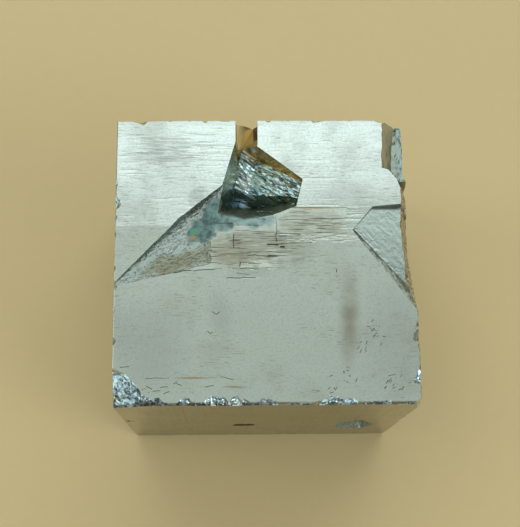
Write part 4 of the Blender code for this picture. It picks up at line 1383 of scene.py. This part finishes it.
# %% The stained breaks
def under_top(depth, soft):
    """1 from the top face down, gone a little more than depth below it."""
    return m.rise(m.z, TOP - depth - soft, TOP - depth)


near_top = under_top(0.5, 0.4)
spalled = stained * m.rise(m.x, 22.4, 22.9) * m.rise(m.y, 13.0, 12.0) * m.rise(m.z, 20.0, 30.0)
metal = m.paint(
    metal,
    ((0.32, 0.29, 0.19), stained),
    ((0.44, 0.44, 0.33), stained * m.rise(m.y, 12.5, 13.5) * m.rise(m.x, 15.0, 17.0)
     * m.rise(m.x, 23.2, 22.6)),
    ((0.23, 0.24, 0.15), stained * in_hollow),
    # painted shade: the slits and marks near the top face are darkened
    ((0.17, 0.18, 0.155), stained * near_top * m.rise(m.y, 13.0, 12.0)),
    ((0.33, 0.345, 0.30), stained * near_top * m.rise(m.y, -5.0, -6.0)),
    # painted glints: bright specks on the spalled edge
    ((0.95, 0.98, 0.90), spalled * m.rise(speck, 0.56, 0.62)),
    ((0.14, 0.11, 0.05), spalled * m.rise(speck, 0.48, 0.42) * 0.8))
print("coats of colour so far:", m.coats)

# %% [markdown]
# The blue-green film has colours of its own, which are painted first and then laid
# over the metal as one coat. It covers grown and broken metal alike.

# %% The film beside the hollow
mottle = m.noise(m.place, 0.95, 5.0, seed=11.0)
film_colour = m.paint(
    (0.028, 0.07, 0.075),
    ((0.14, 0.25, 0.23), m.rise(mottle, 0.32, 0.70)),
    ((0.32, 0.44, 0.41), m.rise(m.x, -10.0, -3.0) * m.rise(mottle, 0.25, 0.6) * 0.8),
    ((0.06, 0.28, 0.14), green),
    ((0.36, 0.22, 0.11), rusty))
coated = film * under_top(2.4, 1.0)
metal = m.paint(metal, (film_colour, coated * 0.85))
print("coats of colour so far:", m.coats)

# %% [markdown]
# The front face is painted darker all over, painted shade for the shadowed paper that it
# mirrors, and it has its own marks: brown stains that run sideways, a dark line right
# under the top edge, and two pits. The larger one is painted grey-blue, a painted
# reflection of the bluish light.

# %% Stains on the front face
sideways = m.noise(m.place, 0.9, 3.0, (7, 1, 2.2), seed=17.0)
old_front = (m.rise(m.y, FRONT + 4.0, FRONT + 2.0) * broken * m.rise(m.kind, 2.9, 2.1)
             * m.rise(m.z, 40, 34))
metal = m.paint(
    metal,
    # painted shade: the whole front face darker
    ((0.25, 0.23, 0.13), front * (grown - top)),
    ((0.22, 0.17, 0.08), m.rise(sideways, 0.45, 0.80) * front * 0.4),
    ((0.13, 0.105, 0.05), m.rise(speck, 0.46, 0.64) * front * grown * 0.4),
    ((0.09, 0.05, 0.02), front * m.rise(m.z, 48.4, 49.7) * m.rise(sideways, 0.3, 0.55) * 0.6),
    # painted reflection: grey-blue in the larger pit
    ((0.22, 0.27, 0.29), old_front * m.rise(m.x, 8, 12) * m.rise(grain, 0.3, 0.6)),
    ((0.10, 0.07, 0.03), old_front * m.rise(m.x, 8, 4)))
print("coats of colour so far:", m.coats)

# %% [markdown]
# Shine and relief come last. Films and stains are rougher than clean metal, and they
# are no metal at all, so they lower the metallic value too. The relief is what noise
# can add below the size of the net: the striae on grown faces, the grain on breaks.

# %% Shine and relief
rough = (0.25 + (coarse - 0.5) * 0.08 + (cloud - 0.5) * 0.12 + coated * 0.22 + in_groove * 0.2
         - fresh * 0.06 + field * top * 0.06 + stained * 0.12 - (grown - top) * 0.09)
weave = m.noise(m.striae, 0.24, 2.0, (1, 9, 1), seed=6.0)
height = ((fine * 0.004 + coarse * 0.005 + weave * 0.003 + grain * 0.003) * grown
          + grain * broken * (0.03 - m.rise(m.x, 11.0, 12.0) * 0.02))
relief_bump = m.node('ShaderNodeBump', inputs={"Strength": 1.0, "Distance": MM, "Height": height})
m.drive(Base_Color=metal, Roughness=rough, Normal=relief_bump,
        Metallic=1.0 - coated * 0.7 - old_front * 0.3 - stained * 0.3 - crumbly * 0.6)
crystal.data.materials.clear()
crystal.data.materials.append(pyrite.material)
print("nodes in the metal:", len(m.tree.nodes))

# %% [markdown]
# ## Floor and light
#
# The crystal stands on a sheet of pale tan paper. Polished metal has hardly any
# colour of its own: what it shows is the room, so the light is half of the finish.
# One very large soft panel hangs behind and above. The top face mirrors it more and
# more towards its back edge, and the front face mirrors the paper. The panels are
# there to be mirrored, so the camera itself doesn't see them.

# %% Paper floor
TAN, PALE_TAN, FLOOR_HALF_WIDTH = (0.70, 0.52, 0.275), (0.73, 0.54, 0.285), 4.0
paper = Surface("paper")
fibres = paper.noise(paper.place, 2.2, 4.0)
paper.drive(Base_Color=paper.tint(TAN, PALE_TAN, fibres), Roughness=0.9, IOR=1.3)
floor_mesh = bpy.data.meshes.new("floor")
bm = bmesh.new()
bmesh.ops.create_grid(bm, x_segments=1, y_segments=1, size=FLOOR_HALF_WIDTH)
bm.to_mesh(floor_mesh)
bm.free()
floor = bpy.data.objects.new("floor", floor_mesh)
floor.data.materials.append(paper.material)
scene.collection.objects.link(floor)
print("paper, metres across:", 2.0 * FLOOR_HALF_WIDTH)

# %% Light
def panel(name, toward, distance, size, radiance, tint):
    """A soft panel that faces the crystal from a direction, with an even brightness."""
    light = bpy.data.lights.new(name, 'AREA')
    light.shape, light.size, light.size_y = 'RECTANGLE', *size
    light.energy = radiance * math.pi * size[0] * size[1]       # in watts
    light.color = tint
    made = bpy.data.objects.new(name, light)
    made.visible_camera = False
    toward = Vector(toward).normalized()
    made.matrix_world = (Matrix.Translation(toward * distance)
                         @ toward.to_track_quat('Z', 'Y').to_matrix().to_4x4())
    scene.collection.objects.link(made)


def from_zenith(angle, sideways):
    """A direction that leans back by an angle from straight up, and to one side."""
    return (math.sin(math.radians(sideways)), math.sin(math.radians(angle)),
            math.cos(math.radians(angle)))


COOL, BLUISH, ROOM = (0.88, 1.0, 0.96), (0.86, 1.0, 1.02), (0.17, 0.185, 0.175)
panel("back_panel", from_zenith(44, 2), 0.9, (1.25, 0.8), 1.42, BLUISH)
panel("ceiling", from_zenith(0, -2), 1.0, (0.9, 0.66), 0.56, COOL)
panel("left_strip", from_zenith(5, -58), 0.9, (0.3, 0.9), 1.5, COOL)
panel("right_strip", from_zenith(-12, 60), 0.9, (0.25, 0.8), 1.3, COOL)
panel("left_corner", (-0.72, -0.52, 0.42), 0.9, (0.5, 0.35), 1.15, BLUISH)
panel("right_corner", (0.62, -0.40, 0.70), 0.9, (0.34, 0.34), 2.8, BLUISH)
panel("low_front", from_zenith(-69, 4), 0.9, (0.9, 0.36), 0.9, BLUISH)
world = bpy.data.worlds.new("room")
scene.world = world
world.use_nodes = True
world.node_tree.nodes["Background"].inputs["Color"].default_value = colour(ROOM)
scene.view_settings.view_transform = 'Standard'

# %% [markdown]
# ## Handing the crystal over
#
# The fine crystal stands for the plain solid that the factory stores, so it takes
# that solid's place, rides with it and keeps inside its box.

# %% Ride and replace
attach(crystal, "root")
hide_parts("pyrite_cube")
